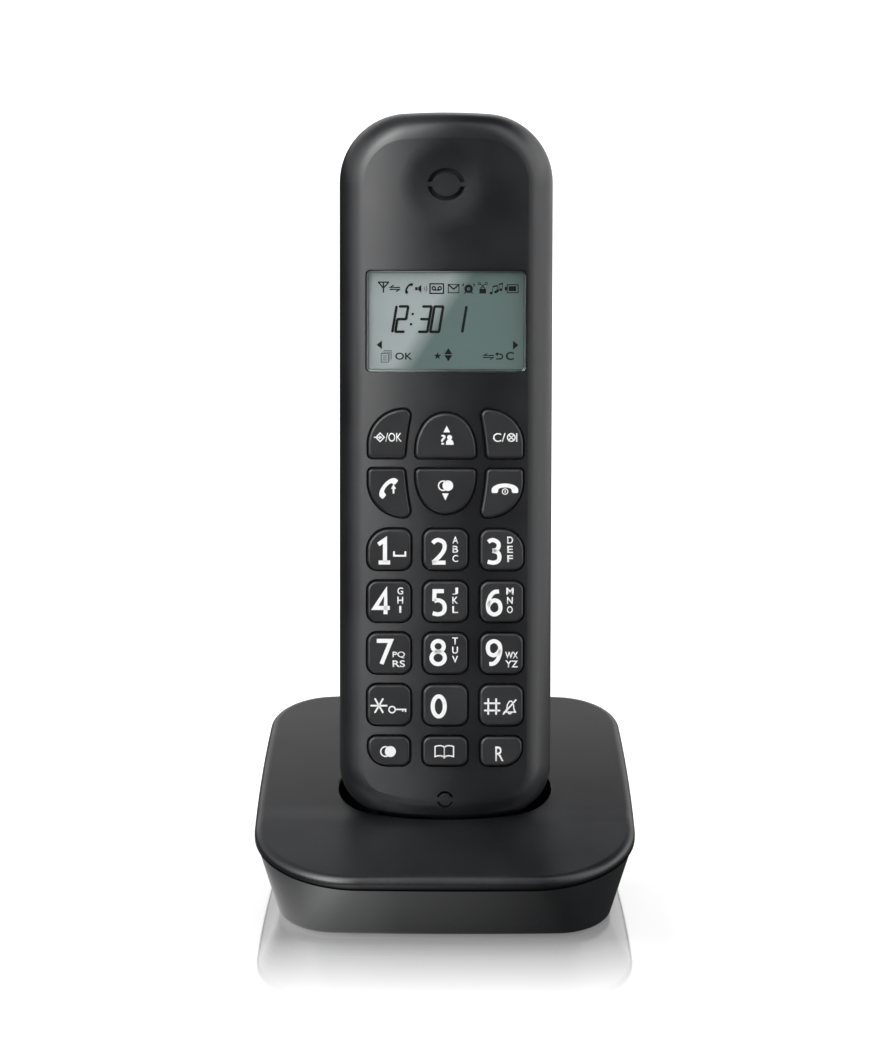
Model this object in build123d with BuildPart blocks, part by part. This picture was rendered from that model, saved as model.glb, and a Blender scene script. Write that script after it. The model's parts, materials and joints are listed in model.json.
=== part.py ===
from build123d import *
import os
from functools import cache
from math import cos, radians, sin, tan

# Cordless telephone: a handset standing in its charging base.
#
# Lengths are millimetres and angles are degrees. X runs to the right, Y to the rear and
# Z up. The origin is the middle of the base's footprint, on the plane it rests on.
# The handset is drawn in its own planes: u to the right, v up along its axis from the
# foot point of its face, and depth from the face towards its back.

os.makedirs("parts", exist_ok=True)

# ------------------------------------------------------------------ driving dimensions

# Base casing
base_width = 86.7              # across the widest part of the lid
base_depth = 87.0              # front to rear
rear_narrowing = 3.1           # each side, from the front corners to the rear corners
side_bow = 1.0                 # sagitta of each long edge of the plan
front_corner = 24.5            # plan radius of the two front corners
rear_corner = 14.5             # plan radius of the two rear corners
floor_corner = 12.0            # plan radius of the corners at the bottom
side_taper = 5.9               # the bottom is this much narrower on each side
end_taper = 4.9                # and this much shorter at each end
parting_height = 17.5          # parting plane above the ground, at the middle
lid_slope = 4.6                # rise of the parting plane towards the rear
lid_edge = 3.0                 # thickness of the lid at the middle of its edge
lid_dome = 1.0                 # crown of the lid over its half depth
lid_round = 2.0                # rounding of the lid's upper edge
lid_overhang = 0.35            # the lid stands out past the lower casing
base_wall = 2.0
base_floor_round = 1.4         # rounding of the lowest edge

# Feet
foot_rise = 0.6                # what the feet stand out under the floor
foot_seat = 0.7                # how deep they sit in it
foot_diameter = 9.0
foot_fit = 0.1
foot_round = 0.4
foot_x = 20.0
foot_y = 30.0

# Base screws and bosses
boss_x = 28.5
boss_front_y = -22.0
boss_rear_y = 25.0
boss_diameter = 6.4
boss_split = 8.0               # height where the lower posts meet the upper bosses
screw_diameter = 2.2
screw_fit = 0.1                # gap on the diameter round a screw
screw_head_diameter = 4.4
screw_head_height = 1.5
screw_seat = 5.0               # height of the seat under a base screw's head
screw_reach = 7.0              # thread length beyond the seat of the upper boss
screw_slot = 0.6               # depth of the drive recess
screw_drive = 1.6
screw_end_gap = 0.5

# Base circuit board
board_thickness = 1.2
base_board_width = 44.0
base_board_gap = 2.3           # from its ends to the casing's outline at the floor
base_board_corner = 8.0
base_board_height = 3.8        # underside of the board
base_post_diameter = 4.0
base_post_x = 18.0
base_post_y = 20.5
base_pin_diameter = 1.8
base_pin_fit = 0.2
base_pin_tip = 0.3             # what a locating pin stands out of the board
shield_inset = 15.3            # of its middle, from the front end of the board
shield_width = 24.0
shield_length = 15.0
shield_height = 2.6
chip_y = 16.0
chip_size = 9.0
chip_height = 1.2
capacitor_x = 14.0
capacitor_y = 12.0
capacitor_diameter = 5.0
capacitor_height = 7.0
base_aerial_inset = 5.3        # of the strip, from the front end of the board
base_aerial_length = 26.0
base_aerial_height = 6.5
strip_thickness = 0.5

# Modular sockets in the rear wall
socket_width = 12.6
socket_height = 11.0
socket_length = 15.0
socket_x = 14.5
socket_setback = 4.9           # of the socket faces, from the rear end of the lid
socket_fit = 0.3
rear_cut_margin = 1.0          # the openings are cut from this far behind the lid
rear_cut_length = 12.0         # depth of the openings, past the rear wall
plug_width = 9.8
plug_height = 6.8
plug_depth = 11.5
latch_width = 4.2
latch_height = 1.9
contact_wire = 0.5
contact_pitch = 1.27
contact_count = 4
contact_length = 8.0

# Page button in the rear wall
page_width = 6.6
page_height = 4.6
page_z = 9.0
page_setback = 2.3             # of its outer face, from the rear end of the lid
page_head = 4.2                # from the outer face to the flange
page_flange = 1.0
page_flange_length = 0.9
page_stem = 2.0
page_travel = 0.6
page_fit = 0.3
page_round = 1.2
page_edge_round = 0.5
switch_width = 6.0
switch_height = 6.0
switch_length = 3.6
switch_tip_diameter = 2.4
switch_tip = 1.0

# Handset casing
handset_lean = 16.0            # from the vertical
handset_foot_y = -19.8         # where the face meets the lid
handset_width = 48.0
handset_top = 160.5            # face length above the foot point
handset_chin = 0.6             # what hangs below it
depth_chin = 22.5              # casing depth at the lower end
depth_middle = 24.0
depth_top = 19.5
top_dome = 2.05                # sagitta of the top edge across the full width
chin_bulge_radius = 58.0
top_corner = 15.4
chin_corner = 11.4
face_round = 5.5               # rounding of the edges of the face
back_round = 7.0               # rounding of the edges of the back
handset_wall = 2.0
handset_parting = 10.0         # depth of the seam between the two casings
seam_bevel = 0.2               # bevel of both casings along that seam

# Display
window_width = 35.95
window_height = 22.8
window_v = 113.97
window_corner = 1.1
window_thickness = 1.2
window_recess = 1.4
window_fit = 0.15
window_bevel = 0.4
view_margin = 0.55             # ledge that carries the window
panel_width = 34.9
panel_height = 25.0
panel_thickness = 1.9
panel_gap = 0.1
frame_border = 0.9
frame_fit = 0.1
connector_height = 1.4

# Keys
key_gap = 0.45                 # between a key and its hole
key_rise = 0.95                # what it stands out of the face
key_round = 0.55
key_flange = 0.45              # flange beyond the hole
key_flange_thickness = 0.6
key_seat_gap = 0.05
key_travel = 0.6
plunger_diameter = 4.0
plunger_length = 0.5
column_x = 12.7
outer_key_width = 9.7
middle_key_width = 10.0
digit_height = 9.2
digit_corner = 2.1
digit_big_corner = 4.9
digit_row_v = 62.45            # middle of the first digit row
digit_pitch = 11.81
menu_key_half_width = 6.75
menu_key_height = 10.1
menu_side_inner = 7.75         # inner tip of the side keys
menu_side_foot = 9.25
menu_side_outer = 17.4
menu_side_height = 10.35
menu_row_v = 81.95             # line between the two menu rows
menu_row_gap = 1.24            # from that line to the keys
menu_straight = 1.6            # straight sides of the keys next to that line
menu_side_radius = 10.7        # curve of the middle keys' sides
menu_foot_round = 0.9
menu_tip_round = 1.4
menu_tip_excess = 0.4          # the sharp tip stands this far past the rounded one
menu_side_bend_u = 14.6        # a point on the outer curve of the side keys
menu_side_bend_v = 9.0
menu_side_straight = 2.2
menu_side_waist = 0.25         # hollow of their inner side
low_row_v = 16.5
low_key_height = 6.6
low_key_inset = 0.4            # the outer low keys are this much narrower
low_key_corner = 1.75
low_big_corner = 4.2

# Handset insides
handset_board_thickness = 1.0
membrane_thickness = 0.4
membrane_width = 37.4
membrane_low_v = 10.8
membrane_high_v = 94.7
membrane_corner = 4.0
dome_diameter = 5.0
dome_height = 0.25
layer_gap = 0.05
board_edge_gap = 0.6
board_top = 134.0
top_post_x = 16.0
top_post_v = 131.0
top_post_diameter = 3.5
ledge_reach = 3.2
ledge_length = 4.0
ledge_rows = (32.35, 68.6)
earpiece_v = 144.6
earpiece_diameter = 15.0
earpiece_height = 3.1
dimple_radius = 8.3
dimple_depth = 0.75
dimple_rim_round = 25.0
slot_outer_x = 4.2
slot_outer_y = 3.65
slot_width = 1.0
slot_bridge = 1.0
mic_v = 5.3
mic_ring_radius = 1.9
mic_slot_width = 0.5
mic_diameter = 4.0
mic_height = 1.9
handset_chip_v = 62.0
handset_chip_size = 9.0
handset_chip_height = 1.2
handset_shield_height = 2.2
handset_shield_v = 118.0
handset_shield_width = 26.0
handset_shield_length = 22.0
handset_aerial_v = 130.5
handset_aerial_length = 24.0
handset_aerial_height = 3.0
ringer_v = 121.0
ringer_diameter = 20.0
ringer_height = 4.0
ringer_hole = 1.6
ringer_hole_ring = 4.0
ringer_hole_count = 6
rim_thickness = 1.0
rim_height = 2.0
seat_fit = 0.15

# Battery compartment
cell_diameter = 10.3
cell_length = 44.5
cell_nub_diameter = 3.8
cell_nub_length = 0.8
cell_pitch = 10.9
cell_gap = 0.2
bay_wall = 1.2
bay_floor = 9.7                # depth of the compartment floor
bay_side = 12.0                # half width inside
bay_low_v = 36.0
contact_plate = 0.4
spring_length = 4.2
spring_wire = 0.6
spring_diameter = 6.0
spring_turns = 3
cover_half_width = 19.0
cover_low_v = 28.0
cover_high_v = 103.0
cover_corner = 5.0
cover_thickness = 1.6
cover_gap = 0.15
recess_floor = 1.5
cover_tab_width = 8.0
cover_tab_length = 1.2
cover_tab_depth = 1.6
cover_tab_fit = 0.4
case_screw_x = 15.0
case_screw_v = 97.3
case_boss_diameter = 4.6
case_boss_depth = 9.6
case_screw_seat = 12.0

# Charging contacts
pad_x = 7.5
pad_width = 5.0
pad_length = 4.8
pad_round = 0.8
pad_thickness = 0.6
pad_depth_position = 13.0
pad_level = 0.3                # v of the pad's outer face
pad_fit = 0.1
pin_gap = 0.25                 # between pin and pad
pin_diameter = 2.2
pin_collar_diameter = 3.1
pin_collar_height = 0.8
pin_hole = 2.8
pin_travel = 0.8
pin_round = 0.6
barrel_outer = 5.2
barrel_inner = 3.7
barrel_mouth = 2.8
barrel_length = 6.0
barrel_wall = 1.0

# Pocket of the base
pocket_side_gap = 0.35
pocket_lip_depth = 1.5         # depth of the pocket's front edge at its middle
pocket_bow_radius = 58.0
pocket_front_corner = 12.0
pocket_back_corner = 7.5
pocket_back = 1.0              # beyond the casing depth at the chin
pocket_floor_gap = 0.6
pocket_wall = 1.8
pocket_lip_round = 0.4
pocket_reach = 16.0            # height of the tub blank, well past the lid
lid_skin = 0.4                 # tub and bosses end this far under the lid's surface

# ------------------------------------------------------------------ derived planes

half_width = base_width / 2
half_depth = base_depth / 2
dome_radius = (half_depth**2 + lid_dome**2) / (2 * lid_dome)
lid_crown = lid_edge + lid_dome

slope = radians(lid_slope)
parting = Plane(origin=(0, 0, parting_height), x_dir=(1, 0, 0), z_dir=(0, -sin(slope), cos(slope)))
ground = Plane.XY
base_floor = foot_rise + base_wall
base_board_top = base_board_height + board_thickness
base_board_end = half_depth - end_taper - base_board_gap
socket_rear_y = half_depth - socket_setback
socket_z = base_board_top + socket_height / 2
rear_cut_start = half_depth + rear_cut_margin
boss_places = [(x, y) for x in (-boss_x, boss_x) for y in (boss_front_y, boss_rear_y)]
foot_places = [(x, y) for x in (-foot_x, foot_x) for y in (-foot_y, foot_y)]
post_places = [(x, y) for x in (-base_post_x, base_post_x) for y in (-base_post_y, base_post_y)]
pad_places = [(x, pad_depth_position) for x in (-pad_x, pad_x)]


def lid_top(y):
    """Height of the lid's upper surface on the middle line."""
    dome = lid_dome * (1 - (y / half_depth) ** 2)
    return parting_height + y * tan(slope) + lid_edge + dome


lean = radians(handset_lean)
handset_foot = Vector(0, handset_foot_y, lid_top(handset_foot_y))
axis_up = Vector(0, sin(lean), cos(lean))
axis_out = Vector(0, -cos(lean), sin(lean))
face = Plane(origin=handset_foot, x_dir=(1, 0, 0), z_dir=axis_out)
section = Plane(origin=handset_foot, x_dir=(1, 0, 0), z_dir=axis_up)
profile = Plane(origin=handset_foot, x_dir=axis_up, z_dir=(-1, 0, 0))
out_axis = Axis(handset_foot, axis_out)
up_axis = Axis(handset_foot, axis_up)

middle_v = (handset_top - handset_chin) / 2


def back_depth(v):
    """Depth of the casing this far up the handset."""
    share = (v - middle_v) / (handset_top - middle_v)
    return (
        depth_middle
        + share * (depth_top - depth_chin) / 2
        + share**2 * ((depth_top + depth_chin) / 2 - depth_middle)
    )


key_stack = key_seat_gap + key_flange_thickness + plunger_length + key_travel
board_space = key_stack + 2 * layer_gap + membrane_thickness + dome_height
board_front = handset_wall + board_space
board_back = board_front + handset_board_thickness
key_seat = handset_wall + key_seat_gap
top_corner_v = handset_top - top_dome
chin_sagitta = chin_bulge_radius - (chin_bulge_radius**2 - (handset_width / 2) ** 2) ** 0.5
chin_corner_v = chin_sagitta - handset_chin
pocket_floor_v = -handset_chin - pocket_floor_gap
pocket_back_depth = depth_chin + pocket_back
cell_depth = bay_floor + cell_gap + cell_diameter / 2
cell_low_v = bay_low_v + contact_plate + spring_length
bay_high_v = cell_low_v + cell_length + cell_nub_length + contact_plate + cell_gap
bay_middle_v = (bay_low_v + bay_high_v) / 2
case_screw_places = [(x, case_screw_v) for x in (-case_screw_x, case_screw_x)]
ringer_back = back_depth(ringer_v + ringer_diameter / 2) - handset_wall - key_seat_gap


def at_depth(depth):
    """Plane parallel to the handset's face, this far behind it."""
    return face.offset(-depth)


def handset_point(u, v, depth):
    """Place in space of a point given in the handset's own coordinates."""
    return handset_foot + Vector(u, 0, 0) + axis_up * v - axis_out * depth


def save(part, name):
    """Label a finished piece and write its STEP file."""
    part.label = name
    export_step(part, f"parts/{name}.step")


# ------------------------------------------------------------------ outlines


def base_plan(front_half, half_length, front_radius, rear_radius):
    """Rounded square with bowed edges, narrower at the rear."""
    rear_half = front_half - rear_narrowing
    side_half = (front_half + rear_half) / 2 + side_bow
    edge_y = half_length - side_bow
    with BuildSketch() as plan:
        with BuildLine():
            ThreePointArc((-front_half, -edge_y), (0, -half_length), (front_half, -edge_y))
            ThreePointArc((front_half, -edge_y), (side_half, 0), (rear_half, edge_y))
            ThreePointArc((rear_half, edge_y), (0, half_length), (-rear_half, edge_y))
            ThreePointArc((-rear_half, edge_y), (-side_half, 0), (-front_half, -edge_y))
        make_face()
        fillet(plan.vertices().group_by(Axis.Y)[0], front_radius)
        fillet(plan.vertices().group_by(Axis.Y)[-1], rear_radius)
    return plan.sketch


def pocket_plan(grow):
    """Outline of the pocket across the handset's axis; depth runs along the sketch's Y."""
    side = handset_width / 2 + pocket_side_gap + grow
    front = pocket_lip_depth - grow
    back = pocket_back_depth + grow
    radius = pocket_bow_radius + grow
    shoulder = front + radius - (radius**2 - side**2) ** 0.5
    with BuildSketch() as plan:
        with BuildLine():
            ThreePointArc((-side, shoulder), (0, front), (side, shoulder))
            Polyline((side, shoulder), (side, back), (-side, back), (-side, shoulder))
        make_face()
        fillet(plan.vertices().group_by(Axis.Y)[0], pocket_front_corner + grow)
        fillet(plan.vertices().group_by(Axis.Y)[-1], pocket_back_corner + grow)
    return plan.sketch


def handset_outline(inset):
    """Front outline of the handset, drawn inset from its edge."""
    half = handset_width / 2
    with BuildSketch() as outline:
        with BuildLine():
            ThreePointArc((-half, chin_corner_v), (0, -handset_chin), (half, chin_corner_v))
            Line((half, chin_corner_v), (half, top_corner_v))
            ThreePointArc((half, top_corner_v), (0, handset_top), (-half, top_corner_v))
            Line((-half, top_corner_v), (-half, chin_corner_v))
        make_face()
        fillet(outline.vertices().group_by(Axis.Y)[0], chin_corner)
        fillet(outline.vertices().group_by(Axis.Y)[-1], top_corner)
        if inset:
            offset(amount=-inset)
    return outline.sketch


def handset_profile(inset):
    """Side profile of the handset; v runs along the sketch's X and depth along its Y."""
    with BuildSketch() as outline:
        with BuildLine():
            Polyline((-handset_chin, depth_chin), (-handset_chin, 0), (handset_top, 0), (handset_top, depth_top))
            ThreePointArc((handset_top, depth_top), (middle_v, depth_middle), (-handset_chin, depth_chin))
        make_face()
        if inset:
            offset(amount=-inset, kind=Kind.INTERSECTION)
    return outline.sketch


def window_outline(margin):
    """Display window seen from the front, shrunk by margin."""
    with BuildSketch() as outline:
        with Locations((0, window_v)):
            RectangleRounded(
                window_width - 2 * margin, window_height - 2 * margin, max(window_corner - margin, 0.3)
            )
    return outline.sketch


def cover_outline(grow):
    """Battery cover seen from the front, grown by a gap."""
    with BuildSketch() as outline:
        with Locations((0, (cover_low_v + cover_high_v) / 2)):
            RectangleRounded(
                2 * (cover_half_width + grow), cover_high_v - cover_low_v + 2 * grow, cover_corner + grow
            )
    return outline.sketch


def ring_slots(half_x, half_y, width, bridge):
    """Oval ring parted by a bridge on the left and on the right, round the origin."""
    with BuildSketch() as ring:
        Ellipse(half_x, half_y)
        Ellipse(half_x - width, half_y - width, mode=Mode.SUBTRACT)
        Rectangle(2 * half_x + width, bridge, mode=Mode.SUBTRACT)
    return ring.sketch


# ------------------------------------------------------------------ key outlines


def digit_key(u, v, width, height, corners):
    """Rounded rectangle; corners are its radii from the lower left, counter-clockwise."""
    left, right = u - width / 2, u + width / 2
    low, high = v - height / 2, v + height / 2
    with BuildSketch() as outline:
        with BuildLine():
            FilletPolyline((left, low), (right, low), (right, high), (left, high), radius=corners, close=True)
        make_face()
    return outline.sketch


def middle_menu_key(row_sign):
    """Half-dome key on the middle line, above (1) or below (-1) the menu line."""
    half, radius = menu_key_half_width, menu_side_radius
    base_v = menu_row_v + row_sign * menu_row_gap
    spring_v = base_v + row_sign * menu_straight
    rise = menu_key_height - menu_straight
    apex = (0, spring_v + row_sign * (radius**2 - (radius - half) ** 2) ** 0.5)
    crown_radius = (radius**2 - (radius - half) ** 2 - rise**2) / (2 * (radius - rise))
    with BuildSketch() as outline:
        with BuildLine():
            Polyline((-half, spring_v), (-half, base_v), (half, base_v), (half, spring_v))
            RadiusArc((half, spring_v), apex, -row_sign * radius)
            RadiusArc(apex, (-half, spring_v), -row_sign * radius)
        make_face()
        fillet(outline.vertices().sort_by(Axis.Y, reverse=row_sign < 0)[-1], crown_radius)
        fillet(outline.vertices().sort_by(Axis.Y, reverse=row_sign < 0)[:2], menu_foot_round)
    return outline.sketch


def side_menu_key(side_sign, row_sign):
    """Petal-shaped key on the left (-1) or right (1), above (1) or below (-1) the menu line."""

    def spot(u, v):
        return (side_sign * u, menu_row_v + row_sign * (menu_row_gap + v))

    tip = spot(menu_side_inner, menu_side_height + menu_tip_excess)
    bend = spot(menu_side_bend_u, menu_side_bend_v)
    shoulder = spot(menu_side_outer, menu_side_straight)
    outer_foot = spot(menu_side_outer, 0)
    inner_foot = spot(menu_side_foot, 0)
    waist = spot((menu_side_inner + menu_side_foot) / 2 + menu_side_waist, menu_side_height / 2)
    with BuildSketch() as outline:
        with BuildLine():
            ThreePointArc(tip, bend, shoulder)
            Polyline(shoulder, outer_foot, inner_foot)
            ThreePointArc(inner_foot, waist, tip)
        make_face()
        feet = outline.vertices().sort_by(Axis.Y, reverse=row_sign < 0)[:2]
        fillet(feet, menu_foot_round)
        fillet(outline.vertices().sort_by(Axis.Y, reverse=row_sign < 0)[-1], menu_tip_round)
    return outline.sketch


def digit_keys():
    """The twelve digit keys, by name."""
    names = ("1", "2", "3", "4", "5", "6", "7", "8", "9", "star", "0", "hash")
    outlines = {}
    for place, name in enumerate(names):
        row, column = divmod(place, 3)
        corners = [digit_corner] * 4
        if name == "1":
            corners[3] = digit_big_corner
        if name == "3":
            corners[2] = digit_big_corner
        width = middle_key_width if column == 1 else outer_key_width
        v = digit_row_v - row * digit_pitch
        outlines[f"key_{name}"] = digit_key((column - 1) * column_x, v, width, digit_height, corners)
    return outlines


def low_keys():
    """The three keys of the lowest row, by name."""
    small, big = low_key_corner, low_big_corner
    rows = (
        ("key_redial", -column_x, outer_key_width - low_key_inset, [big, small, small, small]),
        ("key_phonebook", 0.0, middle_key_width, [small] * 4),
        ("key_recall", column_x, outer_key_width - low_key_inset, [small, big, small, small]),
    )
    return {name: digit_key(u, low_row_v, width, low_key_height, radii) for name, u, width, radii in rows}


def menu_keys():
    """The six keys round the menu line, by name."""
    return {
        "key_menu_ok": side_menu_key(-1, 1),
        "key_up": middle_menu_key(1),
        "key_clear": side_menu_key(1, 1),
        "key_talk": side_menu_key(-1, -1),
        "key_down": middle_menu_key(-1),
        "key_end": side_menu_key(1, -1),
    }


key_outlines = {**menu_keys(), **digit_keys(), **low_keys()}
key_centres = {name: outline.bounding_box().center() for name, outline in key_outlines.items()}

# ------------------------------------------------------------------ base casing


def lower_body(inset, bottom):
    """Tapered solid under the parting plane, shrunk by inset, from this height up."""
    corner = floor_corner - inset
    with BuildPart() as body:
        with BuildSketch(ground.offset(bottom)):
            add(base_plan(half_width - side_taper - inset, half_depth - end_taper - inset, corner, corner))
        with BuildSketch(parting):
            trim = lid_overhang + inset
            add(base_plan(half_width - trim, half_depth - trim, front_corner - trim, rear_corner - trim))
        loft(ruled=True)
    return body.part


def lid_body(inset):
    """Domed solid on the parting plane, shrunk by inset."""
    with BuildPart() as body:
        with BuildSketch(parting):
            add(base_plan(half_width - inset, half_depth - inset, front_corner - inset, rear_corner - inset))
        extrude(amount=lid_crown)
        with Locations(parting.offset(lid_crown - dome_radius)):
            Sphere(dome_radius - inset, rotation=(90, 0, 0), mode=Mode.INTERSECT)
    return body.part


def under_dome():
    """The pocket's tub and the screw bosses, cut off at the lid's upper surface."""
    with BuildPart() as body:
        with BuildSketch(section.offset(pocket_floor_v - pocket_wall)):
            add(pocket_plan(pocket_wall))
        extrude(amount=pocket_reach)
        with BuildSketch(ground.offset(boss_split)):
            with Locations(*boss_places):
                Circle(boss_diameter / 2)
        extrude(amount=pocket_reach)
        with Locations(parting.offset(lid_crown - dome_radius)):
            Sphere(dome_radius - lid_skin, rotation=(90, 0, 0), mode=Mode.INTERSECT)
    return body.part


def make_upper_shell():
    """Lid of the base with the pocket that the handset stands in."""
    with BuildPart() as base_upper_shell:
        add(lid_body(0))
        fillet(base_upper_shell.faces().filter_by(GeomType.SPHERE)[0].edges(), lid_round)
        add(lid_body(base_wall), mode=Mode.SUBTRACT)
        add(under_dome())
        with BuildSketch(section.offset(pocket_floor_v)):
            add(pocket_plan(0))
        extrude(amount=2 * pocket_reach, mode=Mode.SUBTRACT)
        with BuildSketch(section.offset(pocket_floor_v)):
            with Locations(*pad_places):
                Circle(pin_hole / 2)
        extrude(amount=-pocket_wall, mode=Mode.SUBTRACT)
        with BuildSketch(ground.offset(boss_split)):
            with Locations(*boss_places):
                Circle((screw_diameter + screw_fit) / 2)
        extrude(amount=screw_reach, mode=Mode.SUBTRACT)
        skin = base_upper_shell.faces().filter_by(GeomType.SPHERE).sort_by(Axis.Z)[-1]
        fillet(skin.inner_wires()[0].edges(), pocket_lip_round)
    save(base_upper_shell.part, "base_upper_shell")


def make_lower_shell():
    """Tapered lower casing with posts, screw wells, feet seats and rear openings."""
    with BuildPart() as base_lower_shell:
        add(lower_body(0, foot_rise))
        fillet(base_lower_shell.faces().sort_by(Axis.Z)[0].edges(), base_floor_round)
        split(bisect_by=Plane.YZ, keep=Keep.TOP)
        mirror(about=Plane.YZ)
        add(lower_body(base_wall, base_floor), mode=Mode.SUBTRACT)
        with BuildSketch(ground.offset(base_floor)):
            with Locations(*boss_places):
                Circle(boss_diameter / 2)
        extrude(amount=boss_split - base_floor)
        with BuildSketch(ground.offset(base_floor)):
            with Locations(*post_places):
                Circle(base_post_diameter / 2)
        extrude(amount=base_board_height - base_floor)
        with BuildSketch(ground.offset(base_board_height)):
            with Locations(*post_places):
                Circle(base_pin_diameter / 2)
        extrude(amount=board_thickness + base_pin_tip)
        with BuildSketch(ground):
            with Locations(*boss_places):
                Circle(screw_head_diameter / 2 + screw_fit)
        extrude(amount=screw_seat, mode=Mode.SUBTRACT)
        with BuildSketch(ground):
            with Locations(*boss_places):
                Circle((screw_diameter + screw_fit) / 2)
        extrude(amount=boss_split, mode=Mode.SUBTRACT)
        with BuildSketch(ground):
            with Locations(*foot_places):
                Circle(foot_diameter / 2)
        extrude(amount=foot_rise + foot_seat, mode=Mode.SUBTRACT)
        with BuildSketch(Plane.XZ.offset(-rear_cut_start)):
            with Locations((-socket_x, socket_z), (socket_x, socket_z)):
                Rectangle(socket_width + 2 * socket_fit, socket_height + 2 * socket_fit)
            with Locations((0, page_z)):
                Rectangle(page_width + 2 * page_fit, page_height + 2 * page_fit)
        extrude(amount=rear_cut_length, mode=Mode.SUBTRACT)
    save(base_lower_shell.part, "base_lower_shell")

# ------------------------------------------------------------------ base insides


def make_base_board():
    """Circuit board of the base, on its posts and locating pins."""
    with BuildPart() as base_board:
        with BuildSketch(ground.offset(base_board_height)):
            RectangleRounded(base_board_width, 2 * base_board_end, base_board_corner)
            with Locations(*post_places):
                Circle(base_pin_diameter / 2 + base_pin_fit, mode=Mode.SUBTRACT)
        extrude(amount=board_thickness)
    save(base_board.part, "base_board")


def make_on_board(name, y, width, length, height):
    """Block-shaped component on the base board."""
    with BuildPart() as component:
        with BuildSketch(ground.offset(base_board_top)):
            with Locations((0, y)):
                Rectangle(width, length)
        extrude(amount=height)
    save(component.part, name)


def make_base_capacitors():
    """Two capacitors standing on the base board."""
    with BuildPart() as base_capacitors:
        with BuildSketch(ground.offset(base_board_top)):
            with Locations((-capacitor_x, capacitor_y), (capacitor_x, capacitor_y)):
                Circle(capacitor_diameter / 2)
        extrude(amount=capacitor_height)
        tops = base_capacitors.faces().group_by(Axis.Z)[-1]
        fillet(tops.edges(), strip_thickness)
    save(base_capacitors.part, "base_capacitors")


def make_base_aerial():
    """Printed strip aerial standing along the front of the base board."""
    place = base_aerial_inset - base_board_end
    make_on_board("base_aerial", place, base_aerial_length, strip_thickness, base_aerial_height)


def make_socket(name, x):
    """Modular socket with its plug opening and the slot for the plug's latch."""
    plug_z = socket_z - latch_height / 2
    with BuildPart() as socket:
        with BuildSketch(Plane.XZ.offset(-socket_rear_y)):
            with Locations((x, socket_z)):
                Rectangle(socket_width, socket_height)
        extrude(amount=socket_length)
        with BuildSketch(Plane.XZ.offset(-socket_rear_y)):
            with Locations((x, plug_z)):
                Rectangle(plug_width, plug_height)
            with Locations((x, plug_z + plug_height / 2)):
                Rectangle(latch_width, 2 * latch_height)
        extrude(amount=plug_depth, mode=Mode.SUBTRACT)
    save(socket.part, name)


def make_socket_contacts(name, x):
    """Four contact wires lying along the floor of a socket's opening."""
    floor_z = socket_z - latch_height / 2 - plug_height / 2
    first_x = x - contact_pitch * (contact_count - 1) / 2
    with BuildPart() as contacts:
        with BuildSketch(Plane.XZ.offset(plug_depth - socket_rear_y)):
            for place in range(contact_count):
                with Locations((first_x + place * contact_pitch, floor_z + contact_wire / 2)):
                    Rectangle(contact_wire, contact_wire)
        extrude(amount=-contact_length)
    save(contacts.part, name)


def make_page_button():
    """Button in the rear wall, with the flange that keeps it in."""
    outer = half_depth - page_setback
    flange_y = outer - page_head
    with BuildPart() as page_button:
        with BuildSketch(Plane.XZ.offset(-outer)):
            with Locations((0, page_z)):
                RectangleRounded(page_width, page_height, page_round)
        extrude(amount=page_head)
        fillet(page_button.faces().sort_by(Axis.Y)[-1].edges(), page_edge_round)
        with BuildSketch(Plane.XZ.offset(-flange_y)):
            with Locations((0, page_z)):
                Rectangle(page_width + 2 * page_flange, page_height + 2 * page_flange)
        extrude(amount=page_flange_length)
        with BuildSketch(Plane.XZ.offset(page_flange_length - flange_y)):
            with Locations((0, page_z)):
                Circle(switch_tip_diameter / 2)
        extrude(amount=page_stem)
    save(page_button.part, "page_button")


def make_page_switch():
    """Side-push switch on the board behind the page button."""
    tip_y = half_depth - page_setback - page_head - page_flange_length - page_stem - page_travel - key_seat_gap
    with BuildPart() as page_switch:
        with BuildSketch(ground.offset(base_board_top)):
            with Locations((0, tip_y - switch_tip - switch_length / 2)):
                Rectangle(switch_width, switch_length)
        extrude(amount=switch_height)
        with BuildSketch(Plane.XZ.offset(-tip_y)):
            with Locations((0, page_z)):
                Circle(switch_tip_diameter / 2)
        extrude(amount=switch_tip)
    save(page_switch.part, "page_switch")


def make_base_feet():
    """Four rubber feet in their seats."""
    with BuildPart() as base_feet:
        with BuildSketch(ground):
            with Locations(*foot_places):
                Circle(foot_diameter / 2 - foot_fit)
        extrude(amount=foot_rise + foot_seat)
        fillet(base_feet.faces().group_by(Axis.Z)[0].edges(), foot_round)
    save(base_feet.part, "base_feet")


def make_base_screws():
    """Four screws up through the posts of the lower casing into the bosses above."""
    with BuildPart() as base_screws:
        with BuildSketch(ground.offset(screw_seat - screw_head_height)):
            with Locations(*boss_places):
                Circle(screw_head_diameter / 2)
                Rectangle(screw_drive, screw_drive, mode=Mode.SUBTRACT)
        extrude(amount=screw_slot)
        with BuildSketch(ground.offset(screw_seat - screw_head_height + screw_slot)):
            with Locations(*boss_places):
                Circle(screw_head_diameter / 2)
        extrude(amount=screw_head_height - screw_slot)
        with BuildSketch(ground.offset(screw_seat)):
            with Locations(*boss_places):
                Circle(screw_diameter / 2)
        extrude(amount=boss_split - screw_seat + screw_reach - screw_end_gap)
    save(base_screws.part, "base_screws")


# ------------------------------------------------------------------ charging contacts


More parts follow.
